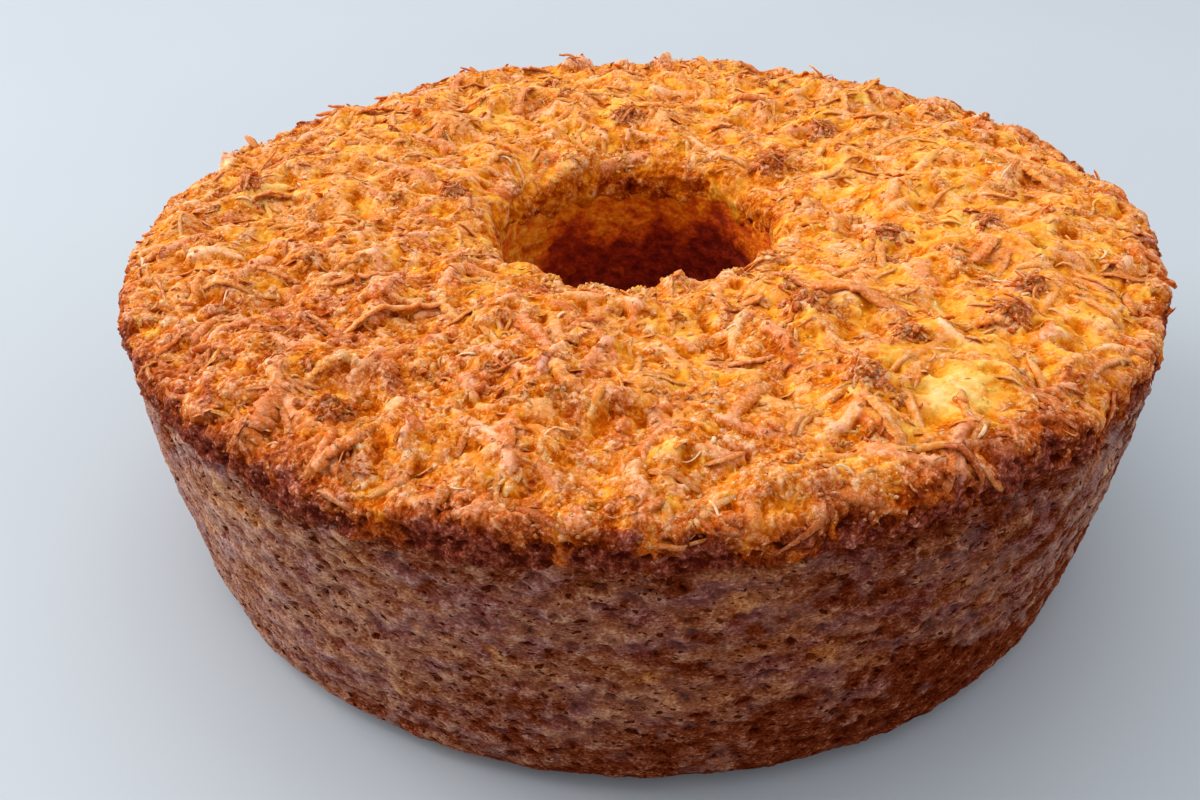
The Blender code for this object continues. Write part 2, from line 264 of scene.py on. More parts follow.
# Round lamps: (name, place, size, watts, colour), and the even pale surround
LAMPS = (
    ("window", (-2.25, 0.65, 1.25), 1.8, 60.0, (1.0, 0.99, 0.97)),
    ("ceiling", (-0.30, 0.40, 1.80), 2.2, 19.0, (1.0, 0.98, 0.95)),
    ("front", (0.30, -1.20, 0.65), 1.0, 0.8, (1.0, 0.98, 0.96)),
    ("right", (1.70, 0.50, 0.80), 1.6, 7.0, (0.96, 0.98, 1.0)),
)
LAMPS_AIM = (0.0, 0.0, 0.05)
SURROUND = (0.95, 0.97, 1.0, 1.0)
SURROUND_STRENGTH = 0.62

# The camera stands where the photo was taken from
CAMERA_PLACE = (0.0, -0.2473, 0.1795)
CAMERA_AIM = (-0.0073, -0.0535, 0.0500)
CAMERA_ROLL = -0.00855
FOCAL_PIXELS = 1100
IMAGE_WIDTH = 1200
SENSOR_WIDTH = 36.0
FLOOR_HALF = 3.0
FLOOR_DROP = 0.0002


def smooth_step(value, low, high):
    share = np.clip((value - low) / (high - low), 0, 1)
    return share * share * (3 - 2 * share)


def below(value, high, low):
    """0 above the first of these, 1 below the second."""
    return smooth_step(-value, -high, -low)


# ---------------------------------------------------------------- the form of the solid


def crown(radius):
    share = (radius - HOLE_TOP_RADIUS) / (RIM_RADIUS - HOLE_TOP_RADIUS)
    return RIM_HEIGHT + CROWN_RISE * 4 * share * (1 - share) - HOLE_DIP * (1 - share) ** 2


def relief(rows, x, y, z):
    """The solid's own relief at each of these points."""
    total = np.zeros(len(x))
    for height, spacing in rows:
        points = np.stack([x, y, z], 1) / spacing
        total += height * np.array([noise.noise(Vector(point)) for point in points])
    return total


def arc(centre, rounding, start, end, step):
    rows = max(2, round(rounding * math.radians(abs(end - start)) / step))
    angles = [math.radians(start + (end - start) * row / rows) for row in range(rows + 1)]
    return [(centre[0] + rounding * math.cos(a), centre[1] + rounding * math.sin(a)) for a in angles]


def line(start, end, step):
    """Points between two ends, without the ends."""
    rows = max(1, round(math.dist(start, end) / step))
    shares = [row / rows for row in range(1, rows)]
    return [(start[0] + (end[0] - start[0]) * s, start[1] + (end[1] - start[1]) * s) for s in shares]


def rim_corner(start, step):
    return arc((RIM_RADIUS - RIM_ROUNDING, RIM_HEIGHT - RIM_ROUNDING), RIM_ROUNDING, start, 80, step)


def lip_corner(step):
    centre = (HOLE_TOP_RADIUS + LIP_ROUNDING, RIM_HEIGHT - HOLE_DIP - LIP_ROUNDING)
    return arc(centre, LIP_ROUNDING, 95, 178, step)


def side_radius(z):
    """Radius of the smooth side at this height, under the rim's overhang."""
    top = rim_corner(RIM_UNDER, 0.001)[0]
    return BASE_RADIUS + (top[0] - BASE_RADIUS) * (z - BASE_EDGE_RADIUS) / (top[1] - BASE_EDGE_RADIUS)


def hole_radius(z):
    top = lip_corner(0.001)[-1]
    share = (z - HOLE_EDGE_RADIUS) / (top[1] - HOLE_EDGE_RADIUS)
    return HOLE_BASE_RADIUS + (top[0] - HOLE_BASE_RADIUS) * share


def rim_tuck(z):
    """How far the rim lies within the solid's at this height, so that the side runs straight up to it."""
    return RIM_TUCK * smooth_step(z, 0.0618, 0.0672)


def around(angle, bearing, reach, amount):
    """The amount at this bearing, falling off to each side within about this many degrees."""
    turned = (np.degrees(angle) - bearing + 180) % 360 - 180
    return amount * np.exp(-((turned / reach) ** 2))


def crust_section(step):
    """The crust's section: up over the rim, across the top, over the lip and down into the hole."""
    foot = (side_radius(CRUST_FOOT), CRUST_FOOT)
    rim, lip = rim_corner(-40, step), lip_corner(step)
    top = []
    for radius, _ in line(rim[-1], lip[0], step):
        at_rim = smooth_step(radius, rim[-1][0] - TOP_ROW, rim[-1][0])
        at_lip = below(radius, lip[0][0] + TOP_ROW, lip[0][0])
        sunk = (crown(rim[-1][0]) - rim[-1][1]) * at_rim + (crown(lip[0][0]) - lip[0][1]) * at_lip
        top.append((radius, crown(radius) - float(sunk)))
    hole_foot = (hole_radius(CRUST_HOLE_FOOT), CRUST_HOLE_FOOT)
    return (
        [foot] + line(foot, rim[0], step) + rim + top + lip + line(lip[-1], hole_foot, step) + [hole_foot]
    )


# ---------------------------------------------------------------- maps of the fine relief


def band_noise(shape, cell, wavelength, rng, stretch=1.0):
    """An even random field of spread 1, its bumps a wavelength apart, longer across by the stretch."""
    across = np.fft.rfftfreq(shape[1], cell)[None, :] * wavelength * stretch
    down = np.fft.fftfreq(shape[0], cell)[:, None] * wavelength
    keep = np.exp(-(((np.hypot(across, down) - 1) / 0.45) ** 2))
    field = np.fft.irfft2(np.fft.rfft2(rng.standard_normal(shape)) * keep, s=shape)
    return field / field.std()


def crumbly(field):
    """Rounded lumps with creases between them, out of an even field."""
    return np.minimum(np.abs(field), 1.7) - 0.75


def blur(field, cell, radius):
    across = np.fft.rfftfreq(field.shape[1], cell)[None, :]
    down = np.fft.fftfreq(field.shape[0], cell)[:, None]
    keep = np.exp(-2 * (math.pi * radius) ** 2 * (across**2 + down**2))
    return np.fft.irfft2(np.fft.rfft2(field) * keep, s=field.shape)


def between_cells(grid, row, column):
    """The grid's value at a fractional row and column, whose columns go round."""
    r, c = row.astype(int), column.astype(int)
    u, v = column - c, row - r
    here, after = c % grid.shape[1], (c + 1) % grid.shape[1]
    lower = grid[r, here] * (1 - u) + grid[r, after] * u
    upper = grid[r + 1, here] * (1 - u) + grid[r + 1, after] * u
    return lower * (1 - v) + upper * v


def sample(grid, cell, x, y):
    """The map's value over each point."""
    column = np.clip((x + MAP_HALF) / cell, 0, grid.shape[1] - 1.001)
    return between_cells(grid, np.clip((y + MAP_HALF) / cell, 0, grid.shape[0] - 1.001), column)


def sample_round(grid, angle, along):
    """The unrolled map's value at each angle round the axis and distance up the wall."""
    column = (angle / (2 * math.pi) % 1.0) * grid.shape[1]
    return between_cells(grid, np.clip(along / WALL_CELL, 0, grid.shape[0] - 1.001), column)


def map_axis(cell):
    return np.arange(-MAP_HALF, MAP_HALF + cell / 2, cell)


def window(shape, place, reach):
    """Slices of the map round a place, and the place's own row and column."""
    column, row = ((place + MAP_HALF) / MAP_CELL).astype(int)
    cells = int(reach / MAP_CELL) + 2
    rows = slice(max(row - cells, 0), min(row + cells + 1, shape[0]))
    columns = slice(max(column - cells, 0), min(column + cells + 1, shape[1]))
    return rows, columns, row, column


def ring_places(inner, outer, count, rng):
    """Places spread evenly over a flat ring between these radii."""
    radius = np.sqrt(rng.uniform(inner**2, outer**2, count))
    bearing = rng.uniform(0, 2 * math.pi, count)
    return radius * np.cos(bearing), radius * np.sin(bearing)


def lay_matted_shreds(height, toast, light, plain, kind, rng):
    """Presses flat shreds into the map: each lies on what is under it and hides it."""
    count, lengths, widths, lifts, tone, shades = kind
    base = blur(height, MAP_CELL, 0.0016)
    under = blur(toast, MAP_CELL, 0.0010)
    axis = map_axis(MAP_CELL)
    for _ in range(count):
        place = rng.uniform(-RIM_RADIUS, RIM_RADIUS, 2)
        length, width = rng.uniform(*lengths), rng.uniform(*widths)
        heading, bend = rng.uniform(0, math.pi), rng.uniform(-22, 22)
        lift, slope = rng.uniform(*lifts), rng.normal(0, 0.05)
        shade, shine = rng.normal(tone, shades), rng.normal(-0.09, 0.06)
        rows, columns, row, column = window(height.shape, place, length / 2)
        high, brown, bright, smooth = (grid[rows, columns] for grid in (height, toast, light, plain))
        dx, dy = axis[columns][None, :] - place[0], axis[rows][:, None] - place[1]
        along = dx * math.cos(heading) + dy * math.sin(heading)
        aside = dy * math.cos(heading) - dx * math.sin(heading) - bend * along**2
        inside = 1 - (aside / (width / 2)) ** 2 - (along / (length / 2)) ** 4
        shape = np.clip(inside, 0, 1) ** 0.30 * min(width, 0.0022) * 0.26
        through = 0.25 * (high - base[rows, columns])
        new = base[row, column] * 0.4 + base[rows, columns] * 0.6 + lift + slope * along + shape + through
        won = (inside > 0) & (new > high)
        high[won] = new[won]
        brown[won] = under[row, column] + shade
        # painted highlight: the shred is lighter towards its edges
        bright[won] = shine + 0.12 * (1 - inside[won])
        smooth[won] = 1.0


def lay_matted_flakes(height, toast, light, plain, hollows, kind, rng):
    """Covers the map with tilted flakes, fewer in the hollows. The highest shows at each point."""
    count, least, reach, narrowness, tilt, lifts, rounded, shades, lights = kind
    steps = np.arange(-reach, reach + 1)
    x, y = ring_places(HOLE_TOP_RADIUS - 0.003, RIM_RADIUS + 0.003, count, rng)
    long = rng.uniform(least, reach * MAP_CELL, count)
    narrow = (long * rng.uniform(*narrowness, count))[:, None, None]
    heading, tilts = rng.uniform(0, math.pi, count), rng.normal(0, tilt, (2, count, 1, 1))
    base = sample(blur(height, MAP_CELL, least * 1.8), MAP_CELL, x, y) + rng.uniform(*lifts, count)
    base -= 0.0005 * sample(hollows, MAP_CELL, x, y)
    column = np.rint((x + MAP_HALF) / MAP_CELL).astype(int)[:, None, None] + steps[None, None, :]
    row = np.rint((y + MAP_HALF) / MAP_CELL).astype(int)[:, None, None] + steps[None, :, None]
    dx = column * MAP_CELL - MAP_HALF - x[:, None, None]
    dy = row * MAP_CELL - MAP_HALF - y[:, None, None]
    cosine, sine = np.cos(heading)[:, None, None], np.sin(heading)[:, None, None]
    along, aside = dx * cosine + dy * sine, dy * cosine - dx * sine
    within = 1 - (along / long[:, None, None]) ** 2 - (aside / narrow) ** 2
    inside = within > 0
    value = base[:, None, None] + tilts[0] * along + tilts[1] * aside
    value = value + rounded * narrow * np.sqrt(np.maximum(within, 0))
    flake = np.broadcast_to(np.arange(count)[:, None, None], value.shape)[inside]
    place, value = (row * height.shape[1] + column)[inside], value[inside]
    order = np.argsort(value)
    highest, shown = np.full(height.size, -1.0), np.zeros(height.size, int)
    highest[place[order]], shown[place[order]] = value[order], flake[order]
    highest, shown = highest.reshape(height.shape), shown.reshape(height.shape)
    won = highest > height - 0.0001
    height[won] = highest[won]
    toast[won] += rng.normal(0, shades, count)[shown[won]]
    light[won] = rng.normal(0, lights, count)[shown[won]]
    plain[won] = 0.0


def lay_mounds(height, toast, members, steep, tone, rng):
    """Raises a rough mound at each of these places, and toasts it by this much."""
    rough = band_noise(height.shape, MAP_CELL, 0.0026, rng)
    axis = map_axis(MAP_CELL)
    for radius, bearing, size in members:
        angle = math.radians(bearing)
        place = radius * np.array([math.cos(angle), math.sin(angle)])
        rows, columns, _, _ = window(height.shape, place, size * 1.5)
        dx, dy = axis[columns][None, :] - place[0], axis[rows][:, None] - place[1]
        away = np.hypot(dx, dy) / size + rough[rows, columns] * 0.14
        height[rows, columns] += np.sqrt(np.clip(1 - away**2, 0, 1)) * size * steep
        toast[rows, columns] += tone * below(away, 1.25, 0.6)


def far_crags():
    """The far edge's crags, in the same measures as the clumps."""
    draw = random.Random(62)
    count, *ranges = FAR_CRAGS
    return [[draw.uniform(*limits) for limits in ranges] for _ in range(count)]


def toast_base(x, y, rng):
    """How toasted the crust is, from -0.3, moist and yellow, to 1, burnt, before its fine relief."""
    level = np.full(x.shape, TOAST_LEVEL)
    for amount, wavelength in TOAST_WAVES:
        level += amount * band_noise(x.shape, MAP_CELL, wavelength, rng)
    for (px, py), reach, amount in TOAST_SPOTS:
        level += amount * np.exp(-((x - px) ** 2 + (y - py) ** 2) / reach**2)
    return level + RIM_TOAST * smooth_step(np.hypot(x, y), RIM_RADIUS - 0.009, RIM_RADIUS - 0.002)


def top_maps():
    """Maps of the fine relief's height, of how toasted it is, and of how far out of the gaps."""
    rng = np.random.default_rng(21)
    axis = map_axis(MAP_CELL)
    x, y = np.meshgrid(axis, axis)
    height, light, plain = np.zeros(x.shape), np.zeros(x.shape), np.zeros(x.shape)

    def field(wavelength):
        return band_noise(x.shape, MAP_CELL, wavelength, rng)

    for rise, wavelength in GROUND_WAVES:
        height += rise * field(wavelength)
    toast = toast_base(x, y, rng)
    for kind in MATTED_SHREDS:
        lay_matted_shreds(height, toast, light, plain, kind, rng)
    for mounds in MOUNDS:
        lay_mounds(height, toast, *mounds, rng)
    lay_mounds(height, toast, far_crags(), FAR_STEEP, FAR_TOAST, np.random.default_rng(61))
    height += CRUMB_RELIEF * crumbly(field(0.0034))
    hollows = smooth_step(field(0.0070), 0.75, 1.5)
    height -= GAP_DEPTH * smooth_step(field(0.0045), 1.0, 2.0)
    height -= HOLLOW_DEPTH * hollows
    for kind in MATTED_FLAKES:
        lay_matted_flakes(height, toast, light, plain, hollows, kind, rng)
    for kind in TOP_SHREDS:
        lay_matted_shreds(height, toast, light, plain, kind, rng)
    gain = 0.55 + 0.50 * smooth_step(blur(toast, MAP_CELL, 0.0050), -0.08, 0.20)
    settled = blur(height, MAP_CELL, 0.0012)
    height = settled + (height - settled) * gain
    height -= np.median(height)
    # how far each point stands out of the gaps, which paints shade deep in them and light on the tips
    stands = 0.8 * (height - blur(height, MAP_CELL, 0.0020))
    stands += 0.35 * (height - blur(height, MAP_CELL, 0.0050))
    crags = (blur(height, MAP_CELL, 0.0007) - blur(height, MAP_CELL, 0.0055)) / 0.0010
    toast += 0.17 * np.clip(crags, -1.4, 1.5)
    return {
        "height": height,
        "smooth": blur(height, MAP_CELL, 0.0008),
        "toast": toast,
        "out": np.clip(0.5 + stands / 0.0023 + light * gain, 0, 1),
        "plain": blur(plain, MAP_CELL, 0.0002),
    }


def wall_maps(radius, seed, coarse, stretch):
    """The same maps for a wall of this radius, unrolled: rows up it and columns round the axis."""
    rng = np.random.default_rng(seed)
    shape = (round(WALL_LENGTH / WALL_CELL), round(2 * math.pi * radius / WALL_CELL))

    def field(wavelength, longer=1.0):
        return band_noise(shape, WALL_CELL, wavelength, rng, stretch * longer)

    height = coarse * (0.00018 * field(0.0085) + 0.00016 * field(0.0042))
    height += coarse * (0.00014 * crumbly(field(0.0030)) + 0.00012 * crumbly(field(0.0019)))
    height += 0.00008 * field(0.0018)
    pits = smooth_step(field(0.0030, 1.3), 1.2, 2.1)
    height -= 0.0007 * pits
    # how far each point stands out, which paints shade in the recesses and light on what stands out
    stands = height - blur(height, WALL_CELL, 0.0020)
    stain = 0.09 * field(0.026) + 0.10 * field(0.011) + 0.08 * field(0.0050)
    return {
        "height": height,
        "smooth": blur(height, WALL_CELL, 0.0008),
        "toast": stain,
        "out": np.clip(0.5 + stands / 0.0012, 0, 1),
    }


def wave_round(angle, turns, seed):
    """A smooth random wave round the axis, about 1 high, with about this many bumps in a turn."""
    draw = random.Random(seed)
    waves = [(turns + k, draw.uniform(0, 2 * math.pi), draw.uniform(0.3, 0.6)) for k in range(-2, 4)]
    return sum(size * np.sin(count * angle + phase) for count, phase, size in waves)


def waves_round(angle, *waves):
    """A sum of such waves: (how high, how many bumps, seed)."""
    return sum(size * wave_round(angle, turns, seed) for size, turns, seed in waves)


class CrustSurface:
    """The finished crust, at any distance along its section and angle round the axis."""

    def __init__(self):
        axis = map_axis(SOLID_CELL)
        x, y = np.meshgrid(axis, axis)
        flat = relief(TOP_RELIEF, x.ravel(), y.ravel(), np.zeros(x.size))
        self.solid = flat.reshape(x.shape)
        self.top = top_maps()
        self.section = np.array(crust_section(SECTION_STEP))
        steps = np.linalg.norm(np.diff(self.section, axis=0), axis=1)
        self.along = np.concatenate([[0], np.cumsum(steps)])
        self.length = self.along[-1]
        forward = np.gradient(self.section, axis=0)
        normals = np.stack([forward[:, 1], -forward[:, 0]], 1)
        self.normals = normals / np.linalg.norm(normals, axis=1, keepdims=True)
        self.turns = np.linspace(0, 2 * math.pi, 1801)
        self.ragged = {radius: self.ragged_round(radius) for radius in (RIM_RADIUS, HOLE_TOP_RADIUS)}
        self.outer = wall_maps(RIM_RADIUS, 31, 0.6, 1.25)
        self.inner = wall_maps(HOLE_BASE_RADIUS, 32, 0.8, 1.2)

    def ragged_round(self, radius):
        x, y = radius * np.cos(self.turns), radius * np.sin(self.turns)
        return relief(RIM_RELIEF, x, y, np.zeros(len(x)))

    def ragged_at(self, radius, angle):
        """How far the solid's ragged edge of this radius stands out at each angle."""
        return np.interp(angle % (2 * math.pi), self.turns, self.ragged[radius])

    def solid_rise(self, x, y):
        """How far the solid's uneven crust stands above its smooth one."""
        settled = np.clip((RIM_RADIUS - np.hypot(x, y)) / EDGE_FADE, 0, 1)
        share = EDGE_SHARE + (1 - EDGE_SHARE) * settled
        return RIM_LEAN * x / RIM_RADIUS + sample(self.solid, SOLID_CELL, x, y) * share

    def radius(self, along):
        return np.interp(along, self.along, self.section[:, 0])

    def along_at(self, radius):
        """The distance along the section of the points on the top this far from the axis."""
        out = self.section[:, 0]
        top = slice(np.argmax(out), np.argmin(out) + 1)
        return np.interp(-radius, -out[top], self.along[top])

    def height_over(self, x, y, key="smooth"):
        """Height of the crust over each point, away from the rim and the lip."""
        return crown(np.hypot(x, y)) + self.solid_rise(x, y) + sample(self.top[key], MAP_CELL, x, y)

    def at(self, along, angle, key="height"):
        """Points of the surface, its smooth normals, and its toast and out values."""
        along = np.clip(along, 0, self.length)
        r, z = self.radius(along), np.interp(along, self.along, self.section[:, 1])
        tilt = np.interp(along, self.along, self.normals[:, 0])
        rise = np.interp(along, self.along, self.normals[:, 1])
        size = np.hypot(tilt, rise)
        tilt, rise = tilt / size, rise / size
        x, y = r * np.cos(angle), r * np.sin(angle)
        on_top = smooth_step(rise, 0.25, 0.92)
        up_rim, down_lip = along, self.length - along
        outer_half = r > (RIM_RADIUS + HOLE_TOP_RADIUS) / 2

        def read(name, gain=1.0):
            outer = sample_round(self.outer[name], angle, CRUST_FOOT + up_rim)
            inner = sample_round(self.inner[name], angle, CRUST_HOLE_FOOT + down_lip)
            walls = np.where(outer_half, outer, inner) * gain
            return sample(self.top[name], MAP_CELL, x, y) * on_top + walls * (1 - on_top)

        lifted = smooth_step(z, *LIFTED)
        fine = read(key, 1 + lifted * np.where(outer_half, RIM_GAIN, LIP_GAIN))
        near = 1 - smooth_step(np.minimum(RIM_RADIUS - r, r - HOLE_TOP_RADIUS), 0.003, 0.003 + TOP_ROW)
        outer, inner = self.ragged_at(RIM_RADIUS, angle), self.ragged_at(HOLE_TOP_RADIUS, angle)
        ragged = np.where(outer_half, outer, inner)
        tuck = rim_tuck(z) * smooth_step(r, 0.1060, 0.1180)
        scale = 1 + (tilt * fine + ragged * near * lifted - tuck) / r
        points = np.stack([x * scale, y * scale, z + rise * fine + self.solid_rise(x, y) * lifted], -1)
        normals = np.stack([tilt * np.cos(angle), tilt * np.sin(angle), rise], -1)
        toast = sample(self.top["toast"], MAP_CELL, x, y) + read("toast") * (1 - on_top)
        toast += self.edge_toast(r, z, angle, outer_half, on_top)
        # painted shade: darker, deeper colours under the rim, on the steep lip and down the hole
        (rim_shade, *rim), (hole_shade, *hole) = RIM_PAINTED_SHADE, HOLE_PAINTED_SHADE
        inward = LIP_PAINTED_SHADE * (1 - on_top) + hole_shade * below(z + around(angle, *PAINTED_HOLE_LIGHT), *hole)
        deep = np.where(outer_half, rim_shade * below(z, *rim), inward)
        return points, normals, toast, read("out") - deep

    def edge_toast(self, r, z, angle, outer_half, on_top):
        """The rim browns towards the side, in patches, and the lip browns down into the hole, partly as
        painted shade.
        """
        patchy = waves_round(angle, (0.0008, 17, 51), (0.0008, 43, 52))
        for run in RIM_RUNS:
            patchy += around(angle, *run)
        patchy *= smooth_step(r, 0.1090, 0.1150)
        rim_brown, lip_brown = STEEP_BROWNS
        outer = rim_brown * (1 - on_top)
        for amount, *heights in RIM_BROWNS:
            outer += amount * below(z + patchy, *heights)
        streaky = waves_round(angle, (0.0016, 7, 53), (0.0012, 19, 54))
        amount, *heights = HOLE_BROWN_AND_SHADE
        inner = amount * below(z + streaky + around(angle, *PAINTED_HOLE_LIGHT), *heights)
        return np.where(outer_half, outer, inner + lip_brown * (1 - on_top))


# ---------------------------------------------------------------- meshes


def piece(name, points, triangles, values, material, smooth=True):
    """A mesh object that stands for the cake and rides with it. values are its attributes."""
    mesh = bpy.data.meshes.new(name)
    mesh.vertices.add(len(points))
    mesh.vertices.foreach_set("co", np.asarray(points, np.float32).ravel())
    mesh.loops.add(triangles.size)
    mesh.loops.foreach_set("vertex_index", triangles.astype(np.int32).ravel())
    mesh.polygons.add(len(triangles))
    mesh.polygons.foreach_set("loop_start", np.arange(0, triangles.size, 3, dtype=np.int32))
    mesh.polygons.foreach_set("use_smooth", np.full(len(triangles), smooth))
    for key, value in values.items():
        layer = mesh.attributes.new(key, "FLOAT", "POINT")
        layer.data.foreach_set("value", np.asarray(value, np.float32))
    mesh.update(calc_edges=True)
    mesh.materials.append(material)
    made = bpy.data.objects.new(name, mesh)
    bpy.context.scene.collection.objects.link(made)
    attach(made, "root")
    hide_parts("cake")
    return made


def zipper(first, count, second, other):
    """Triangles between a ring of count points from index first and the next ring of other points."""
    mine = (np.arange(count) + 0.5) / count
    theirs = (np.arange(other) + 0.5) / other
    facing = np.searchsorted(theirs, mine, side="left") % other
    behind = np.searchsorted(mine, theirs, side="right") % count
    j, k = np.arange(count), np.arange(other)
    near = np.stack([first + j, first + (j + 1) % count, second + facing], 1)
    far = np.stack([second + (k + 1) % other, second + k, first + behind], 1)
    return np.concatenate([near, far])


def ring_band(radii, spacings, rng):
    """Rings of points round the axis, closed from the last to the first.

    Gives each point's ring and angle, and the triangles between them.
    """
    counts = [max(24, round(2 * math.pi * r / s)) for r, s in zip(radii, spacings)]
    starts = np.concatenate([[0], np.cumsum(counts)])
    triangles = []
    for ring, count in enumerate(counts):
        after = (ring + 1) % len(counts)
        triangles.append(zipper(starts[ring], count, starts[after], counts[after]))
    index = np.repeat(np.arange(len(counts)), counts)
    angle = np.concatenate([2 * math.pi * np.arange(n) / n for n in counts])
    step = np.repeat([2 * math.pi / n for n in counts], counts)
    angle += step * rng.uniform(-0.25, 0.25, len(angle))
    return index, angle, np.concatenate(triangles)


def section_normals(section):
    """Outward unit normals of a closed section that runs up the side and in over the top."""
    points = np.array(section)
    along = np.roll(points, -1, 0) - np.roll(points, 1, 0)
    normals = np.stack([along[:, 1], -along[:, 0]], 1)
    return normals / np.linalg.norm(normals, axis=1, keepdims=True)


def build_crust(surface, name, start, end, hidden, seed, material):
    """A ring of the crust, from one distance along its section to another, closed underneath."""
    rng = np.random.default_rng(seed)
    rows = round((end - start) / CRUST_SPACING) + 1
    along = np.linspace(start, end, rows)
    hidden = np.array(hidden)
    radii = np.concatenate([surface.radius(along), hidden[:, 0]])
    spacings = [CRUST_SPACING] * rows + [HIDDEN_SPACING] * len(hidden)
    index, angle, triangles = ring_band(radii, spacings, rng)
    shown = index < rows
    place = along[np.minimum(index, rows - 1)]
    inner = (index > 0) & (index < rows - 1)
    place = place + np.where(inner, rng.uniform(-0.25, 0.25, len(index)) * CRUST_SPACING, 0)
    points, normals, toast, out = surface.at(place, angle)

    # the borders sink: into the side and the hole along a ragged line, and where the rings overlap
    base = np.interp(place, surface.along, surface.section[:, 1])
    side_border = SIDE_BORDER + waves_round(angle, (0.0004, 21, 3), (0.0003, 70, 4))
    hole_border = HOLE_BORDER + waves_round(angle, (0.0010, 6, 5), (0.0008, 21, 6))
    border = np.where(place < surface.length / 2, side_border, hole_border)
    sunk = OVERLAP_SINK * below(base, border + 0.0004, border - 0.0008) - OVERLAP_LIFT
    sunk += np.where((index == 0) | (index == rows - 1), EDGE_SINK, 0)
    points -= normals * sunk[:, None]
    back = hidden[np.clip(index - rows, 0, len(hidden) - 1)]
    under = np.stack([back[:, 0] * np.cos(angle), back[:, 0] * np.sin(angle), back[:, 1]], 1)
    points = np.where(shown[:, None], points, under)
    plain = sample(surface.top["plain"], MAP_CELL, points[:, 0], points[:, 1]) * (normals[:, 2] > 0.6)
    return piece(name, points, triangles, {"toast": toast, "out": out, "plain": plain}, material)


def build_crusts(surface, material):
    """The crust in two rings: over the rim and inwards, and on to the lip and down into the hole."""
    seam = float(np.interp(-CRUST_SEAM, -surface.section[:, 0], surface.along))
    build_crust(surface, "crust_outer", 0, seam + SEAM_LAP, OUTER_UNDER, 22, material)
    build_crust(surface, "crust_inner", seam - SEAM_LAP, surface.length, INNER_UNDER, 26, material)


def wall_piece(name, section, shown, spacings, walls, surface, toast_and_shade_of, material, seed):
    """A turned wall. shown is how many points of its section are seen; the others close it."""
    rng = np.random.default_rng(seed)
    index, angle, triangles = ring_band([r for r, _ in section], spacings, rng)
    base, normal = np.array(section)[index], section_normals(section)[index]
    visible = index < shown
    radius, z = base[:, 0], base[:, 1]
    x, y = radius * np.cos(angle), radius * np.sin(angle)
    read = {key: np.where(visible, sample_round(grid, angle, z), 0) for key, grid in walls.items()}
    coarse = np.where(visible, relief(SIDE_RELIEF, x, y, z), 0)
    lifted = smooth_step(z, *LIFTED) * visible
    outer = radius[0] > HOLE_BASE_RADIUS * 2
    edge, gain = (RIM_RADIUS, RIM_GAIN) if outer else (HOLE_TOP_RADIUS, LIP_GAIN)
    out = read["height"] * (1 + gain * lifted) + coarse * (1 - lifted)
    out = out * smooth_step(z, 0.0, 0.005)
    moved = surface.ragged_at(edge, angle) * lifted
    if outer:
        moved += (SIDE_SWELL * smooth_step(z, 0.004, 0.022) * (1 - lifted) - rim_tuck(z)) * visible
    scale = 1 + (normal[:, 0] * out + moved) / radius
    height = np.maximum(z + normal[:, 1] * out + surface.solid_rise(x, y) * lifted, 0)
    points = np.stack([x * scale, y * scale, height], 1)
    # painted light: the walls are paler where they face to the left
    pale = WALL_OUT + WALL_PAINTED_LIGHT * np.cos(angle - math.radians(PAINTED_LIGHT_BEARING))
    # painted sheen in a band on the right
    pale += PAINTED_SHEEN * smooth_step(np.cos(angle - math.radians(PAINTED_SHEEN_BEARING)), 0.90, 1.0)
    light = np.where(visible, read["out"] - 0.5, 0) + pale
    values = {"toast": toast_and_shade_of(read["toast"], angle, z), "out": light}
    return piece(name, points, triangles, values, material)


def build_side(surface, material):
    """The brown side and the base, closed by a lid under the crust and a wall behind the hole's."""
    step = SIDE_SPACING
    base = arc((BASE_RADIUS - BASE_EDGE_RADIUS, BASE_EDGE_RADIUS), BASE_EDGE_RADIUS, -90, -5, step)
    side_end = (side_radius(SIDE_TOP), SIDE_TOP)
    side = base + line(base[-1], side_end, step) + [side_end]
    hole_centre = (HOLE_BASE_RADIUS + HOLE_EDGE_RADIUS, HOLE_EDGE_RADIUS)
    hidden = [*SIDE_LID, *arc(hole_centre, HOLE_EDGE_RADIUS, 185, 270, 0.003), *SIDE_FLOOR]
    spacings = [step] * len(side) + [HIDDEN_SPACING / 2] * len(hidden)
    return wall_piece(
        "side", side + hidden, len(side), spacings, surface.outer, surface, side_toast_and_painted_shade, material, 23
    )


def side_toast_and_painted_shade(stain, angle, z):
    """How dark the side is: palest in patches low down, darker just under the rim and at the base, with
    painted shade that darkens it low down, on the left, and where it faces away from the light, most at the
    foot of the front and right.
    """
    low = np.exp(-(((z - TAN_HEIGHT) / TAN_REACH) ** 2))
    patches = smooth_step(waves_round(angle, (1.0, 14, 8), (0.7, 31, 9)) + stain * 5, 0.4, 1.7)
    # stains and pale patches are the side's own; the darkening low down is painted shade
    level = 0.45 + stain * 0.95 - 0.26 * low * patches + 0.18 * below(z, 0.035, 0.012)
    ragged = waves_round(angle, (0.0016, 23, 10), (0.0012, 61, 11))
    level += 0.26 * smooth_step(z + ragged, 0.0550, 0.0625) + 0.14 * below(z, 0.007, 0.0)
    # painted shade: darker on the left
    level += 0.36 * smooth_step(-np.cos(angle), 0.76, 0.92)
    # painted shade: darker where the side faces away from the light, most low down
    facing = np.cos(angle - math.radians(PAINTED_SHADE_BEARING))
    return level + 0.15 * facing + 0.20 * smooth_step(facing, 0.2, 0.9) * below(z, 0.040, 0.010)


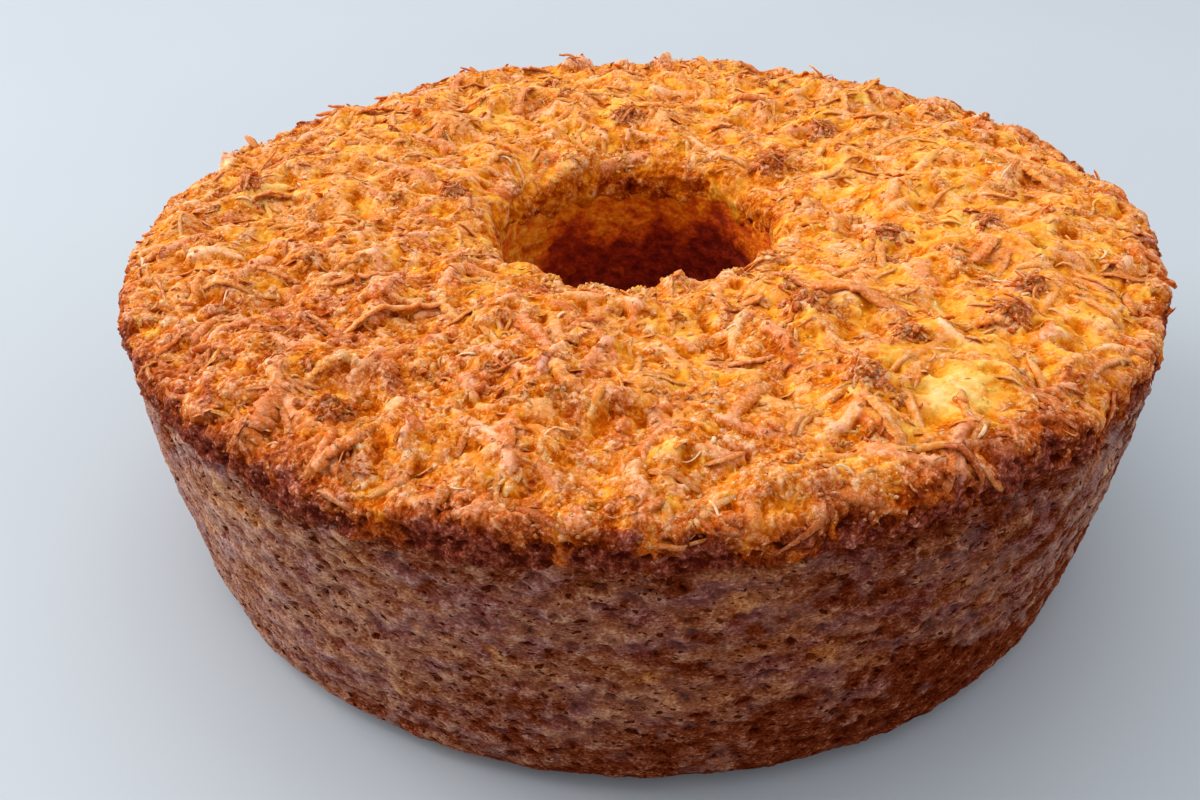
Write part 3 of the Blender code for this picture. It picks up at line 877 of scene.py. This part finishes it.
def build_hole(surface, material):
    """The wall of the hole, closed behind."""
    top, bottom = HOLE_WALL_ENDS
    shown = line((hole_radius(bottom), bottom), (hole_radius(top), top), HOLE_SPACING)[::-1]
    section = shown + list(HOLE_BACK)
    spacings = [HOLE_SPACING] * len(shown) + [HIDDEN_SPACING / 2] * len(HOLE_BACK)
    return wall_piece(
        "hole_wall", section, len(shown), spacings, surface.inner, surface, hole_stain_and_painted_shade, material, 24
    )


def hole_stain_and_painted_shade(stain, angle, z):
    # the hole's stains, and painted shade: darker further down, less deep where the painted hole light
    # falls
    height = z + 0.0035 * wave_round(angle, 6, 55) + around(angle, *PAINTED_HOLE_LIGHT)
    return 0.90 + stain * 0.9 - 0.90 * smooth_step(height, 0.042, 0.059)


# ---------------------------------------------------------------- shreds, crumbs and flakes


def strands(paths, normals, widths, flatness, sides, tip, rolls, rng):
    """Closed, ragged strands along these paths of (count, rows, 3), flat towards the normals.

    Gives their points, their triangles, and how far each point faces out of the crust.
    """
    count, rows, _ = paths.shape
    forward = np.gradient(paths, axis=1)
    forward /= np.linalg.norm(forward, axis=2, keepdims=True)
    across = np.cross(forward, normals)
    across /= np.maximum(np.linalg.norm(across, axis=2, keepdims=True), 1e-6)
    upward = np.cross(across, forward)
    turn = rolls[:, None, None]
    flat = across * np.cos(turn) + upward * np.sin(turn)
    tall = upward * np.cos(turn) - across * np.sin(turn)
    angles = 2 * math.pi * np.arange(sides) / sides
    cosines, sines = np.cos(angles)[None, None, :, None], np.sin(angles)[None, None, :, None]
    offset = flat[:, :, None] * cosines + tall[:, :, None] * sines * flatness
    taper = np.ones((1, rows, 1))
    taper[:, [0, -1]] = tip
    swollen = rng.uniform(0.72, 1.28, (count, rows + 2, 1))
    swollen = (swollen[:, :-2] + swollen[:, 1:-1] + swollen[:, 2:]) / 3
    ragged = swollen * rng.uniform(0.82, 1.18, (count, rows, sides))
    half = widths[:, None, None] / 2 * taper * ragged
    points = paths[:, :, None] + offset * half[..., None]
    triangles = strand_triangles(rows, sides)[None] + (np.arange(count) * rows * sides)[:, None, None]
    facing = np.sum(offset * normals[:, :, None], 3) / np.maximum(np.linalg.norm(offset, axis=3), 1e-9)
    return points.reshape(-1, 3), triangles.reshape(-1, 3), facing.reshape(count, -1)


def strand_triangles(rows, sides):
    ring, side = np.meshgrid(np.arange(rows - 1), np.arange(sides), indexing="ij")
    a, b = ring * sides + side, ring * sides + (side + 1) % sides
    lower = np.stack([a, b, b + sides], -1).reshape(-1, 3)
    upper = np.stack([a, b + sides, a + sides], -1).reshape(-1, 3)
    fan, last = np.arange(1, sides - 1), (rows - 1) * sides
    start = np.stack([0 * fan, fan + 1, fan], 1)
    end = np.stack([last + 0 * fan, last + fan, last + fan + 1], 1)
    return np.concatenate([lower, upper, start, end])


def bent_lines(x, y, heading, bend, length, rows):
    """Bent lines over these places, seen from above: their points' shares of the length, x and y."""
    share = np.linspace(-0.5, 0.5, rows)[None, :]
    turned = heading[:, None] + bend[:, None] * share
    along = length[:, None] * share
    return share, x[:, None] + along * np.cos(turned), y[:, None] + along * np.sin(turned)


def surface_paths(surface, along, angle, shape, rows):
    """Middle lines and normals of strands that lie along the crust. shape holds their measures."""
    share = np.linspace(-0.5, 0.5, rows)[None, :]
    turned = shape["heading"][:, None] + shape["bend"][:, None] * share
    length = shape["length"][:, None]
    s = along[:, None] + length * share * np.cos(turned)
    a = angle[:, None] + length * share * np.sin(turned) / surface.radius(along)[:, None]
    points, normals, toast, _ = surface.at(s.ravel(), a.ravel(), "smooth")
    lift = shape["rise"][:, None] * np.cos(math.pi * share) - shape["sink"][:, None]
    lift += shape["slope"][:, None] * length * (share + 0.5)
    paths = points.reshape(*s.shape, 3) + normals.reshape(*s.shape, 3) * lift[..., None]
    return paths, normals.reshape(*s.shape, 3), toast.reshape(s.shape).mean(1)


def spread_over(surface, count, rng, start=0.0080, end=0.0130):
    """Places spread evenly over the crust: distances along its section, and angles."""
    low, high = start, surface.length - end
    grid = np.linspace(low, high, 600)
    weight = np.cumsum(surface.radius(grid))
    along = np.interp(rng.uniform(weight[0], weight[-1], count), weight, grid)
    return along, rng.uniform(0, 2 * math.pi, count)


def strand_values(shade, facing, rows, sides, rng):
    """Toast and out for each point: browner on top and at the ends, with painted light paler on top and
    painted shade deeper orange underneath.
    """
    ends = np.repeat(np.abs(np.linspace(-1, 1, rows)) ** 3, sides)[None, :]
    toast = shade[:, None] + 0.10 * facing + ends * rng.uniform(-0.1, 0.25, (len(shade), 1))
    out = 0.51 + 0.23 * facing + rng.uniform(-0.12, 0.12, facing.shape)
    return {"toast": toast.ravel(), "out": np.clip(out, 0, 1).ravel()}


def solid_shreds():
    """The shreds that the solid has too, drawn as there, with how toasted each is."""
    draw = random.Random(SHRED_SEED)
    shreds = []
    for radius, bearing, heading, length, width, rise, toast in LONG_SHREDS:
        bend = draw.uniform(-SHRED_BEND, SHRED_BEND)
        place = (radius, math.radians(bearing), math.radians(heading))
        shreds.append((*place, length, width, rise, bend, toast))
    places = []
    inner, outer = HOLE_TOP_RADIUS + LIP_ROUNDING, RIM_RADIUS - RIM_ROUNDING * 2
    for step in range(SHORT_SHREDS):
        share = (step + 0.5) / SHORT_SHREDS
        radius = math.sqrt(inner**2 + share * (outer**2 - inner**2))
        stray = draw.uniform(-PLACE_JITTER, PLACE_JITTER)
        places.append((radius, step * GOLDEN_ANGLE + stray))
    draw.shuffle(places)
    for step, (radius, bearing) in enumerate(places):
        share = step / (SHORT_SHREDS - 1)
        length = SHORT_LENGTHS[0] + share * (SHORT_LENGTHS[1] - SHORT_LENGTHS[0])
        heading = draw.uniform(0, math.pi)
        bend = draw.uniform(-SHRED_BEND, SHRED_BEND)
        rise, width = draw.uniform(*SHORT_RISES), draw.uniform(*SHORT_WIDTHS)
        toast = -0.04 + 0.36 * ((step * 7) % 10) / 10
        shreds.append((radius, bearing, heading, length, width, rise, bend, toast))
    return np.array(shreds)


def build_long_shreds(surface, material):
    rng = np.random.default_rng(41)
    radius, bearing, heading, length, width, rise, bend, shade = solid_shreds().T
    rows, sides = 24, 10
    middle = radius * np.cos(bearing), radius * np.sin(bearing)
    share, x, y = bent_lines(*middle, heading, bend, length, rows)
    z = surface.height_over(x.ravel(), y.ravel()).reshape(x.shape)
    z = 0.5 * z + 0.5 * (z @ np.full((rows, rows), 1 / rows))
    z += (rise[:, None] - SHRED_BEDDED) * np.cos(math.pi * share) - SHRED_SINK
    paths = np.stack([x, y, z], 2) + rng.uniform(-0.0003, 0.0003, (len(radius), rows, 3))
    normals = np.broadcast_to(UP, paths.shape)
    rolls = rng.uniform(-0.5, 0.5, len(radius))
    points, triangles, facing = strands(paths, normals, width, 0.40, sides, 0.45, rolls, rng)
    values = strand_values(shade, facing, rows, sides, rng)
    values["plain"] = np.full(len(points), 0.5)
    return piece("long_shreds", points, triangles, values, material)


def build_shreds(surface, material):
    """Shreds bedded in the crust, some with an end that stands up, small curls, and pale fibres."""
    rng = np.random.default_rng(42)
    count, rows, sides = SHREDS + CURLS + FIBRES, 6, 5
    along, angle = spread_over(surface, count, rng)
    small = np.arange(count) >= SHREDS
    inland = along > 0.013
    pale = (np.arange(count) >= SHREDS + CURLS) & inland
    behind = (np.sin(angle) > 0.3) & (along < 0.045)
    standing = (rng.random(count) < np.where(small, 0.16, np.where(behind, 0.30, 0.08))) & inland
    widths = np.where(small, rng.uniform(*CURL_WIDTHS, count), rng.uniform(*SHRED_WIDTHS, count))
    lengths = np.where(small, rng.uniform(*CURL_LENGTHS, count), rng.uniform(*SHRED_LENGTHS, count))
    lengths *= np.where(standing & ~small, 0.5, 1.0)
    buried = widths * 0.24 + np.where(small, 0.0, rng.uniform(0.0, 0.0003, count))
    arch = np.where(small, rng.uniform(-0.0001, 0.0006, count), rng.uniform(-0.0002, 0.0004, count))
    shape = {
        "heading": rng.uniform(0, 2 * math.pi, count),
        "bend": rng.uniform(-0.6, 0.6, count) * np.where(small, 2.0, 1.0),
        "length": lengths,
        "rise": np.where(standing, 0, buried + arch),
        "sink": np.where(pale, -0.0002, buried),
        "slope": np.where(standing, rng.uniform(0.15, 0.55, count), rng.normal(0, 0.04, count)),
    }
    paths, normals, under = surface_paths(surface, along, angle, shape, rows)
    rolls = rng.uniform(-0.6, 0.6, count)
    points, triangles, facing = strands(paths, normals, widths, 0.34, sides, 0.6, rolls, rng)
    shade = np.minimum(under * 0.9, 0.45) + rng.normal(0, 0.09, count) + np.where(small, 0.05, 0.10)
    shade += np.where(standing, 0.06, 0)
    shade = np.where(pale, -0.05, shade)
    values = strand_values(shade, facing, rows, sides, rng)
    values["out"] = np.where(np.repeat(pale, rows * sides), 1.0, values["out"])
    values["plain"] = np.full(len(points), 0.5)
    return piece("shreds", points, triangles, values, material)


def build_flakes(surface, material):
    """Thin flakes and chips, curled, lying on the crust or leaning out of it."""
    rng = np.random.default_rng(43)
    rows, sides = 4, 5
    along, angle = spread_over(surface, FLAKES, rng)
    lengths = rng.uniform(*FLAKE_LENGTHS, FLAKES)
    slope = rng.normal(0, 0.35, FLAKES)
    shape = {
        "heading": rng.uniform(0, 2 * math.pi, FLAKES),
        "bend": rng.uniform(-0.6, 0.6, FLAKES),
        "length": lengths,
        "rise": rng.uniform(-0.0002, 0.0006, FLAKES),
        "sink": rng.uniform(-0.0003, 0.0004, FLAKES) + np.maximum(-slope, 0) * lengths,
        "slope": slope,
    }
    paths, normals, under = surface_paths(surface, along, angle, shape, rows)
    widths = lengths * rng.uniform(0.40, 0.85, FLAKES)
    rolls = rng.normal(0, 0.5, FLAKES)
    points, triangles, facing = strands(paths, normals, widths, 0.18, sides, 0.55, rolls, rng)
    shade = under * 0.8 + rng.normal(0.08, 0.13, FLAKES)
    values = strand_values(shade, facing, rows, sides, rng)
    return piece("flakes", points, triangles, values, material, False)


def icosahedron():
    golden = (1 + math.sqrt(5)) / 2
    corners = []
    for a in (-1, 1):
        for b in (-golden, golden):
            corners += [(0, a, b), (a, b, 0), (b, 0, a)]
    corners = np.array(corners, float) / math.hypot(1, golden)
    near = np.linalg.norm(corners[:, None] - corners[None], axis=2) < 2.02 / math.hypot(1, golden)
    faces = []
    for i in range(12):
        for j in range(i + 1, 12):
            for k in range(j + 1, 12):
                if near[i, j] and near[j, k] and near[i, k]:
                    turn = np.cross(corners[j] - corners[i], corners[k] - corners[i])
                    faces.append((i, j, k) if turn @ corners[i] > 0 else (i, k, j))
    return corners, np.array(faces)


def random_turns(count, rng):
    """Rotation matrices, evenly random."""
    q = rng.standard_normal((count, 4))
    q /= np.linalg.norm(q, axis=1, keepdims=True)
    w, x, y, z = q.T
    rows = [
        [1 - 2 * (y * y + z * z), 2 * (x * y - z * w), 2 * (x * z + y * w)],
        [2 * (x * y + z * w), 1 - 2 * (x * x + z * z), 2 * (y * z - x * w)],
        [2 * (x * z - y * w), 2 * (y * z + x * w), 1 - 2 * (x * x + y * y)],
    ]
    return np.moveaxis(np.array(rows), 2, 0)


def grains(centres, sizes, shade, rng, long=1.6):
    """Ragged grains round these centres: points, triangles and their values."""
    corners, faces = icosahedron()
    count = len(centres)
    stretch = rng.uniform(0.45, long, (count, 1, 3))
    ragged = rng.uniform(0.65, 1.25, (count, 12, 1))
    local = corners[None] * stretch * ragged * sizes[:, None, None]
    local = np.einsum("nij,nkj->nki", random_turns(count, rng), local)
    points = centres[:, None] + local
    triangles = faces[None] + (np.arange(count) * 12)[:, None, None]
    facing = local[..., 2] / np.linalg.norm(local, axis=2)
    toast = shade[:, None] + 0.06 * facing + rng.uniform(-0.04, 0.04, facing.shape)
    # painted light and shade: paler where a grain faces up, darker where it faces down
    values = {"toast": toast.ravel(), "out": np.clip(0.54 + 0.32 * facing, 0, 1).ravel()}
    return points.reshape(-1, 3), triangles.reshape(-1, 3), values


def joined(parts):
    """One set of points, triangles and values from several."""
    starts = np.cumsum([0] + [len(points) for points, _, _ in parts[:-1]])
    points = np.concatenate([points for points, _, _ in parts])
    triangles = np.concatenate([t + start for (_, t, _), start in zip(parts, starts)])
    values = {key: np.concatenate([v[key] for _, _, v in parts]) for key in parts[0][2]}
    return points, triangles, values


def build_crumbs(surface, material):
    """Crumbs bedded in the crust."""
    rng = np.random.default_rng(44)
    along, angle = spread_over(surface, CRUMBS, rng, 0.0050, 0.0140)
    points, normals, toast, _ = surface.at(along, angle)
    sizes = rng.uniform(*CRUMB_SIZES, CRUMBS) * (0.65 + 0.4 * smooth_step(toast, -0.15, 0.15))
    centres = points + normals * (sizes * rng.uniform(-0.3, 0.5, CRUMBS))[:, None]
    shade = toast * 0.9 + rng.normal(0.0, 0.10, CRUMBS)
    return piece("crumbs", *grains(centres, sizes, shade, rng), material, False)


def build_clumps(surface, material):
    """Toasted knots of crumbs and short shreds on their mounds, and smaller ones between."""
    rng = np.random.default_rng(45)
    large, lip = (
        [(r * math.cos(math.radians(b)), r * math.sin(math.radians(b)), s) for r, b, s in places]
        for places in (CLUMPS, LIP_LUMPS)
    )
    px, py = ring_places(HOLE_TOP_RADIUS + 0.009, RIM_RADIUS - 0.005, SMALL_CLUMPS, rng)
    sizes = rng.uniform(*SMALL_CLUMP_SIZES, SMALL_CLUMPS)
    small = list(zip(px, py, sizes))
    parts = []
    for members, (count, low, high, coarse) in zip((large, small, lip), CLUMP_KINDS):
        for x, y, size in members:
            away = np.abs(rng.normal(0, 0.62, count)) * size
            turn = rng.uniform(0, 2 * math.pi, count)
            px, py = x + away * np.cos(turn), y + away * np.sin(turn)
            grain = rng.uniform(*CLUMP_GRAINS, count) * coarse
            along = surface.along_at(np.hypot(px, py))
            ground, normals, _, _ = surface.at(along, np.arctan2(py, px))
            centres = ground + normals * (grain * rng.uniform(-0.3, 0.6, count))[:, None]
            made = grains(centres, grain, rng.uniform(low, high, count), rng, 2.0)
            # painted shade among the clump's grains
            made[2]["out"] *= CLUMP_PAINTED_SHADE
            parts.append(made)
    for x, y, size in large:
        parts.append(knot_shreds(surface, x, y, size, rng))
    return piece("clumps", *joined(parts), material, False)


def knot_shreds(surface, x, y, size, rng):
    """Short, toasted shreds that cross a clump and stick out of it."""
    count, rows, sides = KNOT_SHREDS, 5, 5
    heading, length = rng.uniform(0, 2 * math.pi, count), rng.uniform(*KNOT_LENGTHS, count)
    bend = rng.uniform(-0.8, 0.8, count)
    middle = [at + rng.normal(0, size * 0.35, count) for at in (x, y)]
    share, px, py = bent_lines(*middle, heading, bend, length, rows)
    ground = surface.height_over(px.ravel(), py.ravel()).reshape(px.shape)
    lift, slope = rng.uniform(0.0, 0.0006, (count, 1)), rng.uniform(-0.1, 0.5, (count, 1))
    lift = lift + slope * length[:, None] * (share + 0.5)
    paths = np.stack([px, py, 0.6 * ground + 0.4 * ground.mean(1, keepdims=True) + lift], 2)
    normals = np.broadcast_to(UP, paths.shape)
    widths = rng.uniform(*KNOT_WIDTHS, count)
    points, triangles, facing = strands(paths, normals, widths, 0.5, sides, 0.5, widths * 0, rng)
    return points, triangles, strand_values(rng.uniform(0.22, 0.52, count), facing, rows, sides, rng)


# ---------------------------------------------------------------- materials


def linear(red, green, blue):
    """A colour of 0 to 255, as a screen shows it, in Blender's linear values."""
    values = [channel / 255 for channel in (red, green, blue)]
    return [v / 12.92 if v <= 0.04045 else ((v + 0.055) / 1.055) ** 2.4 for v in values] + [1.0]


class Nodes:
    """Short calls for the nodes of one material. squash shortens its noise upwards."""

    def __init__(self, name, squash=1.0):
        self.material = bpy.data.materials.new(name)
        self.material.use_nodes = True
        self.tree = self.material.node_tree
        self.shader = self.tree.nodes["Principled BSDF"]
        place = self.node("TexCoord").outputs["Object"]
        scaled = self.node("VectorMath", {0: place, 1: (1.0, 1.0, squash)}, operation="MULTIPLY")
        self.coordinates = scaled.outputs[0]

    def node(self, kind, inputs=(), **settings):
        """A node of this kind, with its settings and inputs."""
        made = self.tree.nodes.new("ShaderNode" + kind)
        for key, value in settings.items():
            setattr(made, key, value)
        self.put(made, dict(inputs))
        return made

    def put(self, node, inputs):
        """Sets the node's inputs to numbers, or links them to other nodes' outputs."""
        for key, value in inputs.items():
            if isinstance(value, bpy.types.NodeSocket):
                self.tree.links.new(value, node.inputs[key])
            else:
                node.inputs[key].default_value = value

    def attribute(self, name):
        return self.node("Attribute", attribute_name=name).outputs["Fac"]

    def noise_node(self, size, detail, rough, curl):
        shape = {"Scale": 1 / size, "Detail": detail, "Roughness": rough, "Distortion": curl}
        return self.node("TexNoise", {"Vector": self.coordinates, **shape})

    def noise(self, size, detail=2.0, rough=0.5, curl=0.0):
        """Noise from 0 to 1 whose bumps are about this many metres apart."""
        return self.noise_node(size, detail, rough, curl).outputs["Fac"]

    def grain(self, size, bent):
        """Irregular grains: how far each point is from its grain's middle, and a random shade.

        bent is how many metres the grains' outlines are pushed about.
        """
        push = self.noise_node(size * 1.3, 3, 0.6, 0.0).outputs["Color"]
        inputs = {0: push, 1: (bent, bent, bent), 2: self.coordinates}
        pushed = self.node("VectorMath", inputs, operation="MULTIPLY_ADD").outputs[0]
        cells = self.node("TexVoronoi", {"Scale": 1 / size, "Vector": pushed})
        return cells.outputs["Distance"], cells.outputs["Color"]

    def pits(self, size, bent, wide, share):
        """Scattered holes, 1 inside: wide is their size against their spacing, share how few there are."""
        away, shade = self.grain(size, bent)
        reach = self.spread(shade, share, 1.0, 0.0, wide)
        return self.spread(self.math("SUBTRACT", away, reach), 0.05, -0.08)

    def lines(self, size, width):
        """Thin, wandering lines, 1 on each, about this many metres apart."""
        away = self.math("ABSOLUTE", self.vary(0.0, (self.noise(size, 2, 0.5, 1.6), 1.0)), 0.0)
        return self.spread(away, width, 0.0)

    def math(self, kind, first, second):
        return self.node("Math", {0: first, 1: second}, operation=kind).outputs[0]

    def vary(self, value, *sources):
        """The value, moved up and down by sources that lie about 0.5: (source, amount)."""
        for source, amount in sources:
            moved = self.math("MULTIPLY", self.math("SUBTRACT", source, 0.5), amount)
            value = self.math("ADD", value, moved)
        return value

    def spread(self, value, low, high, out_low=0.0, out_high=1.0):
        """The value carried from one range to another, and held at its ends."""
        ranges = {"From Min": low, "From Max": high, "To Min": out_low, "To Max": out_high}
        made = self.node("MapRange", {"Value": value, **ranges}, interpolation_type="SMOOTHSTEP")
        return made.outputs["Result"]

    def ramp(self, value, colours):
        made = self.node("ValToRGB", {"Fac": value})
        places, *colours = colours
        while len(made.color_ramp.elements) < len(colours):
            made.color_ramp.elements.new(0.5)
        for element, place, colour in zip(made.color_ramp.elements, places, colours):
            element.position = place
            element.color = linear(*colour)
        return made.outputs["Color"]

    def mix(self, share, first, second):
        return self.node("Mix", {0: share, 6: first, 7: second}, data_type="RGBA").outputs[2]

    def layered(self, colour, toast, out, layers):
        """The colour, with each layer's over it where toast goes from its first number to its second."""
        for begun, turned, colours in layers:
            colour = self.mix(self.spread(toast, begun, turned), colour, self.ramp(out, colours))
        return colour

    def finish(self, height, distance, strength, **inputs):
        """Sets the shader's inputs and its bump, and gives the material."""
        self.put(self.shader, {key.replace("_", " "): value for key, value in inputs.items()})
        bump = self.node("Bump", {"Strength": strength, "Distance": distance, "Height": height})
        self.put(self.shader, {"Normal": bump.outputs["Normal"]})
        return self.material


def crust_material(name, grainy):
    """Baked cassava: yellow where moist, brown where toasted, with painted shade in deep orange gaps and
    painted light on pale orange tips.
    """
    n = Nodes(name)
    fine, patch = n.noise(0.0008, 4, 0.62, 0.8), n.noise(0.0042, 3)
    middle, shade = n.grain(0.0012, 0.0016)
    speck, _ = n.grain(0.0006, 0.0006)
    level = n.attribute("toast")
    calm = n.spread(n.attribute("plain"), 0.0, 1.0, 1.0, 0.50)
    crisp = n.math("MULTIPLY", n.spread(level, -0.34, 0.20, 0.42, 1.0), calm)
    ridges = n.lines(0.0017, 0.07)
    grain = n.vary(0.0, (fine, 1.25), (shade, 0.35 * grainy))
    grain = n.vary(grain, (middle, -0.5 * grainy), (speck, -0.35 * grainy))
    grain = n.math("ADD", grain, n.math("MULTIPLY", n.math("SUBTRACT", ridges, 0.3), 0.22))
    out = n.math("ADD", n.attribute("out"), n.math("MULTIPLY", grain, crisp))
    toast = n.vary(level, (patch, 0.52), (shade, 0.14 * grainy))
    height = n.vary(fine, (middle, -0.6 * grainy), (speck, -0.35 * grainy), (ridges, 0.5))
    return n.finish(
        height, 0.0005, n.math("MULTIPLY", crisp, 0.75),
        Base_Color=n.layered(n.ramp(out, BODY), toast, out, CRUST_LAYERS),
        Roughness=n.spread(out, 0.1, 0.8, 0.60, 0.50),
        Specular_IOR_Level=n.spread(out, 0.5, 1.0, 0.02, 0.28),
        Subsurface_Weight=0.40,
        Subsurface_Radius=(1.0, 0.38, 0.08),
        Subsurface_Scale=0.0012,
    )


def side_material():
    """The skin that baked against the tin: brown, porous, mottled and a little oily."""
    n = Nodes("baked_side", 1.6)
    fine, soft = n.noise(0.0006, 3, 0.7), n.noise(0.0024, 4, 0.66, 0.4)
    patch = n.noise(0.0052, 4, 0.6)
    middle, shade = n.grain(0.0008, 0.0010)
    fibres = n.lines(0.0030, 0.035)
    # painted shade: the pores are dark and without reflections
    pits = n.math("MAXIMUM", n.pits(0.0029, 0.0050, 0.37, 0.46), n.pits(0.0015, 0.0024, 0.40, 0.42))
    out = n.vary(n.attribute("out"), (fine, 1.2), (soft, 0.52), (shade, 0.30), (middle, -0.25))
    out = n.math("ADD", out, n.math("MULTIPLY", fibres, 0.12))
    toast = n.vary(n.attribute("toast"), (patch, 0.5))
    purple = n.spread(n.noise(0.011, 3), 0.45, 0.65)
    brown = n.mix(purple, n.ramp(out, SIDE_BROWN), n.ramp(out, SIDE_PURPLE))
    colour = n.mix(n.spread(toast, 0.10, 0.36), n.ramp(out, SIDE_TAN), brown)
    colour = n.layered(colour, toast, out, SIDE_LAYERS)
    dull = n.math("ADD", pits, n.spread(toast, 0.70, 1.0))
    shine = n.math("SUBTRACT", n.spread(out, 0.35, 0.85, 0.0, 0.26), dull)
    oily = n.math("SUBTRACT", n.spread(n.noise(0.010, 4), 0.38, 0.62, 0.04, 0.42), dull)
    return n.finish(
        n.vary(fine, (soft, 0.8), (pits, -2.0), (middle, -0.6)), 0.0006, 0.85,
        # painted shade in the pores
        Base_Color=n.mix(n.math("MULTIPLY", pits, 0.9), colour, n.ramp(fine, SIDE_PITS_PAINTED_SHADE)),
        Roughness=0.5,
        Specular_IOR_Level=n.math("MAXIMUM", shine, 0.0),
        Coat_Weight=n.math("MAXIMUM", oily, 0.0),
        Coat_Roughness=0.28,
    )


def hole_material():
    """The hole's wall: orange under the lip, and a darker red-brown further down, painted as the shade of
    the deep hole.
    """
    n = Nodes("baked_hole", 1.2)
    fine, patch = n.noise(0.0010, 5, 0.68, 0.6), n.noise(0.0045, 3)
    middle, shade = n.grain(0.0013, 0.0014)
    out = n.vary(n.attribute("out"), (fine, 1.0), (shade, 0.25), (middle, -0.5))
    toast = n.vary(n.attribute("toast"), (patch, 0.5))
    return n.finish(
        n.vary(fine, (middle, -0.9)), 0.0006, 0.6,
        Base_Color=n.layered(n.ramp(out, HOLE_UPPER), toast, out, HOLE_LAYERS),
        Roughness=0.6,
        Specular_IOR_Level=0.15,
    )


def floor_material():
    n = Nodes("pale_floor")
    n.put(n.shader, {"Base Color": n.ramp(n.noise(0.35, 2), FLOOR), "Roughness": 0.5})
    return n.material


# ---------------------------------------------------------------- floor, light and camera


def build_floor():
    half = FLOOR_HALF
    corners = [(-half, -half), (half, -half), (half, half), (-half, half)]
    mesh = bpy.data.meshes.new("floor")
    mesh.from_pydata([(x, y, -FLOOR_DROP) for x, y in corners], [], [(0, 1, 2, 3)])
    mesh.materials.append(floor_material())
    floor = bpy.data.objects.new("floor", mesh)
    bpy.context.scene.collection.objects.link(floor)


def build_light():
    """A broad window behind and to the left, as in the photo, softer lamps and the surround."""
    for name, place, size, watts, colour in LAMPS:
        data = bpy.data.lights.new(name, "AREA")
        data.shape, data.size, data.energy, data.color = "DISK", size, watts, colour
        lamp = bpy.data.objects.new(name, data)
        lamp.location = place
        lamp.rotation_euler = (Vector(LAMPS_AIM) - Vector(place)).to_track_quat("-Z", "Y").to_euler()
        bpy.context.scene.collection.objects.link(lamp)
    world = bpy.data.worlds.new("surround")
    world.use_nodes = True
    background = world.node_tree.nodes["Background"]
    background.inputs["Color"].default_value = SURROUND
    background.inputs["Strength"].default_value = SURROUND_STRENGTH
    bpy.context.scene.world = world


def build_camera():
    data = bpy.data.cameras.new("camera")
    data.sensor_fit, data.sensor_width = "HORIZONTAL", SENSOR_WIDTH
    data.lens = SENSOR_WIDTH * FOCAL_PIXELS / IMAGE_WIDTH
    data.clip_start, data.clip_end = 0.01, 20
    camera = bpy.data.objects.new("camera", data)
    looking = Vector(CAMERA_AIM) - Vector(CAMERA_PLACE)
    turn = looking.to_track_quat("-Z", "Y").to_matrix().to_4x4()
    camera.matrix_world = (
        Matrix.Translation(CAMERA_PLACE) @ turn @ Matrix.Rotation(CAMERA_ROLL, 4, "Z")
    )
    bpy.context.scene.collection.objects.link(camera)
    bpy.context.scene.camera = camera


def build_cake():
    surface = CrustSurface()
    crust, shred = crust_material("baked_crumb", 1.0), crust_material("baked_shred", 0.5)
    build_crusts(surface, crust)
    build_side(surface, side_material())
    build_hole(surface, hole_material())
    build_long_shreds(surface, shred)
    build_shreds(surface, shred)
    build_flakes(surface, crust)
    build_crumbs(surface, crust)
    build_clumps(surface, crust)


build_camera()
build_floor()
build_light()
build_cake()
bpy.context.scene.view_settings.view_transform = "Standard"
